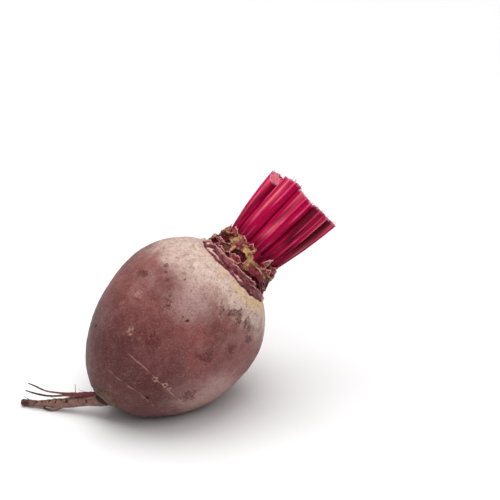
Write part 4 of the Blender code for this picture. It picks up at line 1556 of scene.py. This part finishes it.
def add_surround(brightness):
    """A white surround that shows pure white to the camera and lights the part more softly."""
    world = bpy.data.worlds.new("white_surround")
    world.use_nodes = True
    n = Nodes(world.node_tree)
    background = world.node_tree.nodes["Background"]
    background.inputs["Color"].default_value = (1, 1, 1, 1)
    seen = n.add("ShaderNodeLightPath").outputs["Is Camera Ray"]
    n.feed(background.inputs["Strength"], n.ramp(seen, 0.0, 1.0, brightness, 1.0))
    bpy.context.scene.world = world


def build_stage(stage):
    """The pale floor, the softboxes, the white surround and the camera."""
    half = stage.floor_size / 2
    mesh = bpy.data.meshes.new("floor")
    corners = [(-half, -half, 0), (half, -half, 0), (half, half, 0), (-half, half, 0)]
    mesh.from_pydata(corners, [], [(0, 1, 2, 3)])
    mesh.materials.append(floor_material())
    floor = bpy.data.objects.new("floor", mesh)
    floor.location.z = -FLOOR_GAP
    bpy.context.scene.collection.objects.link(floor)
    floor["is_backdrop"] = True
    add_light("key_softbox", stage.key_power, *KEY_SOFTBOX)
    add_light("top_softbox", stage.top_power, *TOP_SOFTBOX)
    add_surround(stage.surround)
    add_camera(stage)
    bpy.context.scene.view_settings.view_transform = "Standard"


class BEETROOT_OT_skin(bpy.types.Operator):
    """Add the swollen root's skin"""

    bl_idname = "beetroot.skin"
    bl_label = "Add Skin"

    def execute(self, context):
        build_skin(context.scene.beetroot_root, context.scene.beetroot_colours)
        return {"FINISHED"}


class BEETROOT_OT_crown(bpy.types.Operator):
    """Add the crown and the torn leaf bases on it"""

    bl_idname = "beetroot.crown"
    bl_label = "Add Crown"

    def execute(self, context):
        scene = context.scene
        build_crown(scene.beetroot_root, scene.beetroot_crown, scene.beetroot_colours)
        build_torn_bases(scene.beetroot_root, scene.beetroot_crown, scene.beetroot_colours)
        return {"FINISHED"}


class BEETROOT_OT_stalks(bpy.types.Operator):
    """Add the cut leaf stalks and the torn fibres on their cuts"""

    bl_idname = "beetroot.stalks"
    bl_label = "Add Stalks"

    def execute(self, context):
        scene = context.scene
        sizes = scene.beetroot_stalks
        finish = stalk_material(scene.beetroot_colours)
        named = [(f"leaf_stalk_{i}", stalk, 3) for i, stalk in enumerate(OUTER_STALKS, start=1)]
        named += [(f"heart_stalk_{i}", stalk, 1) for i, stalk in enumerate(HEART_STALKS, start=1)]
        cuts = [
            build_stalk(name, stalk, ribs, seed, scene.beetroot_root, scene.beetroot_crown, sizes, finish)
            for seed, (name, stalk, ribs) in enumerate(named)
        ]
        build_fibres(cuts, sizes, scene.beetroot_colours)
        return {"FINISHED"}


class BEETROOT_OT_roots(bpy.types.Operator):
    """Add the taproot, the side roots and the rootlets"""

    bl_idname = "beetroot.roots"
    bl_label = "Add Roots"

    def execute(self, context):
        finish = root_material(context.scene.beetroot_colours)
        build_taproot(finish)
        build_side_roots(finish)
        return {"FINISHED"}


class BEETROOT_OT_stage(bpy.types.Operator):
    """Add the floor, the lights and the camera"""

    bl_idname = "beetroot.stage"
    bl_label = "Add Stage"

    def execute(self, context):
        build_stage(context.scene.beetroot_stage)
        return {"FINISHED"}


class BEETROOT_PT_panel(bpy.types.Panel):
    """Sizes, colours and steps of the beetroot"""

    bl_label = "Trimmed Beetroot"
    bl_space_type = "VIEW_3D"
    bl_region_type = "UI"
    bl_category = "Beetroot"

    def draw(self, context):
        for title, group in SETTINGS.items():
            box = self.layout.box()
            box.label(text=title.replace("beetroot_", "").capitalize())
            for name in group.__annotations__:
                box.prop(getattr(context.scene, title), name)
        for step in STEPS:
            self.layout.operator(step.bl_idname)


SETTINGS = {
    "beetroot_root": BeetrootRoot,
    "beetroot_crown": BeetrootCrown,
    "beetroot_stalks": BeetrootStalks,
    "beetroot_colours": BeetrootColours,
    "beetroot_stage": BeetrootStage,
}
STEPS = (BEETROOT_OT_skin, BEETROOT_OT_crown, BEETROOT_OT_stalks, BEETROOT_OT_roots, BEETROOT_OT_stage)


def register():
    for made in (*SETTINGS.values(), *STEPS, BEETROOT_PT_panel):
        bpy.utils.register_class(made)
    for name, group in SETTINGS.items():
        setattr(bpy.types.Scene, name, bpy.props.PointerProperty(type=group))


def unregister():
    for name in SETTINGS:
        delattr(bpy.types.Scene, name)
    for made in (BEETROOT_PT_panel, *STEPS[::-1], *list(SETTINGS.values())[::-1]):
        bpy.utils.unregister_class(made)


def main():
    register()
    bpy.ops.beetroot.skin()
    bpy.ops.beetroot.crown()
    bpy.ops.beetroot.stalks()
    bpy.ops.beetroot.roots()
    bpy.ops.beetroot.stage()
    boxes = {"cad": CAD_BOX, "visual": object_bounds()}
    {name: [list(corner) for corner in box] for name, box in boxes.items()}


if __name__ == "__main__":
    main()
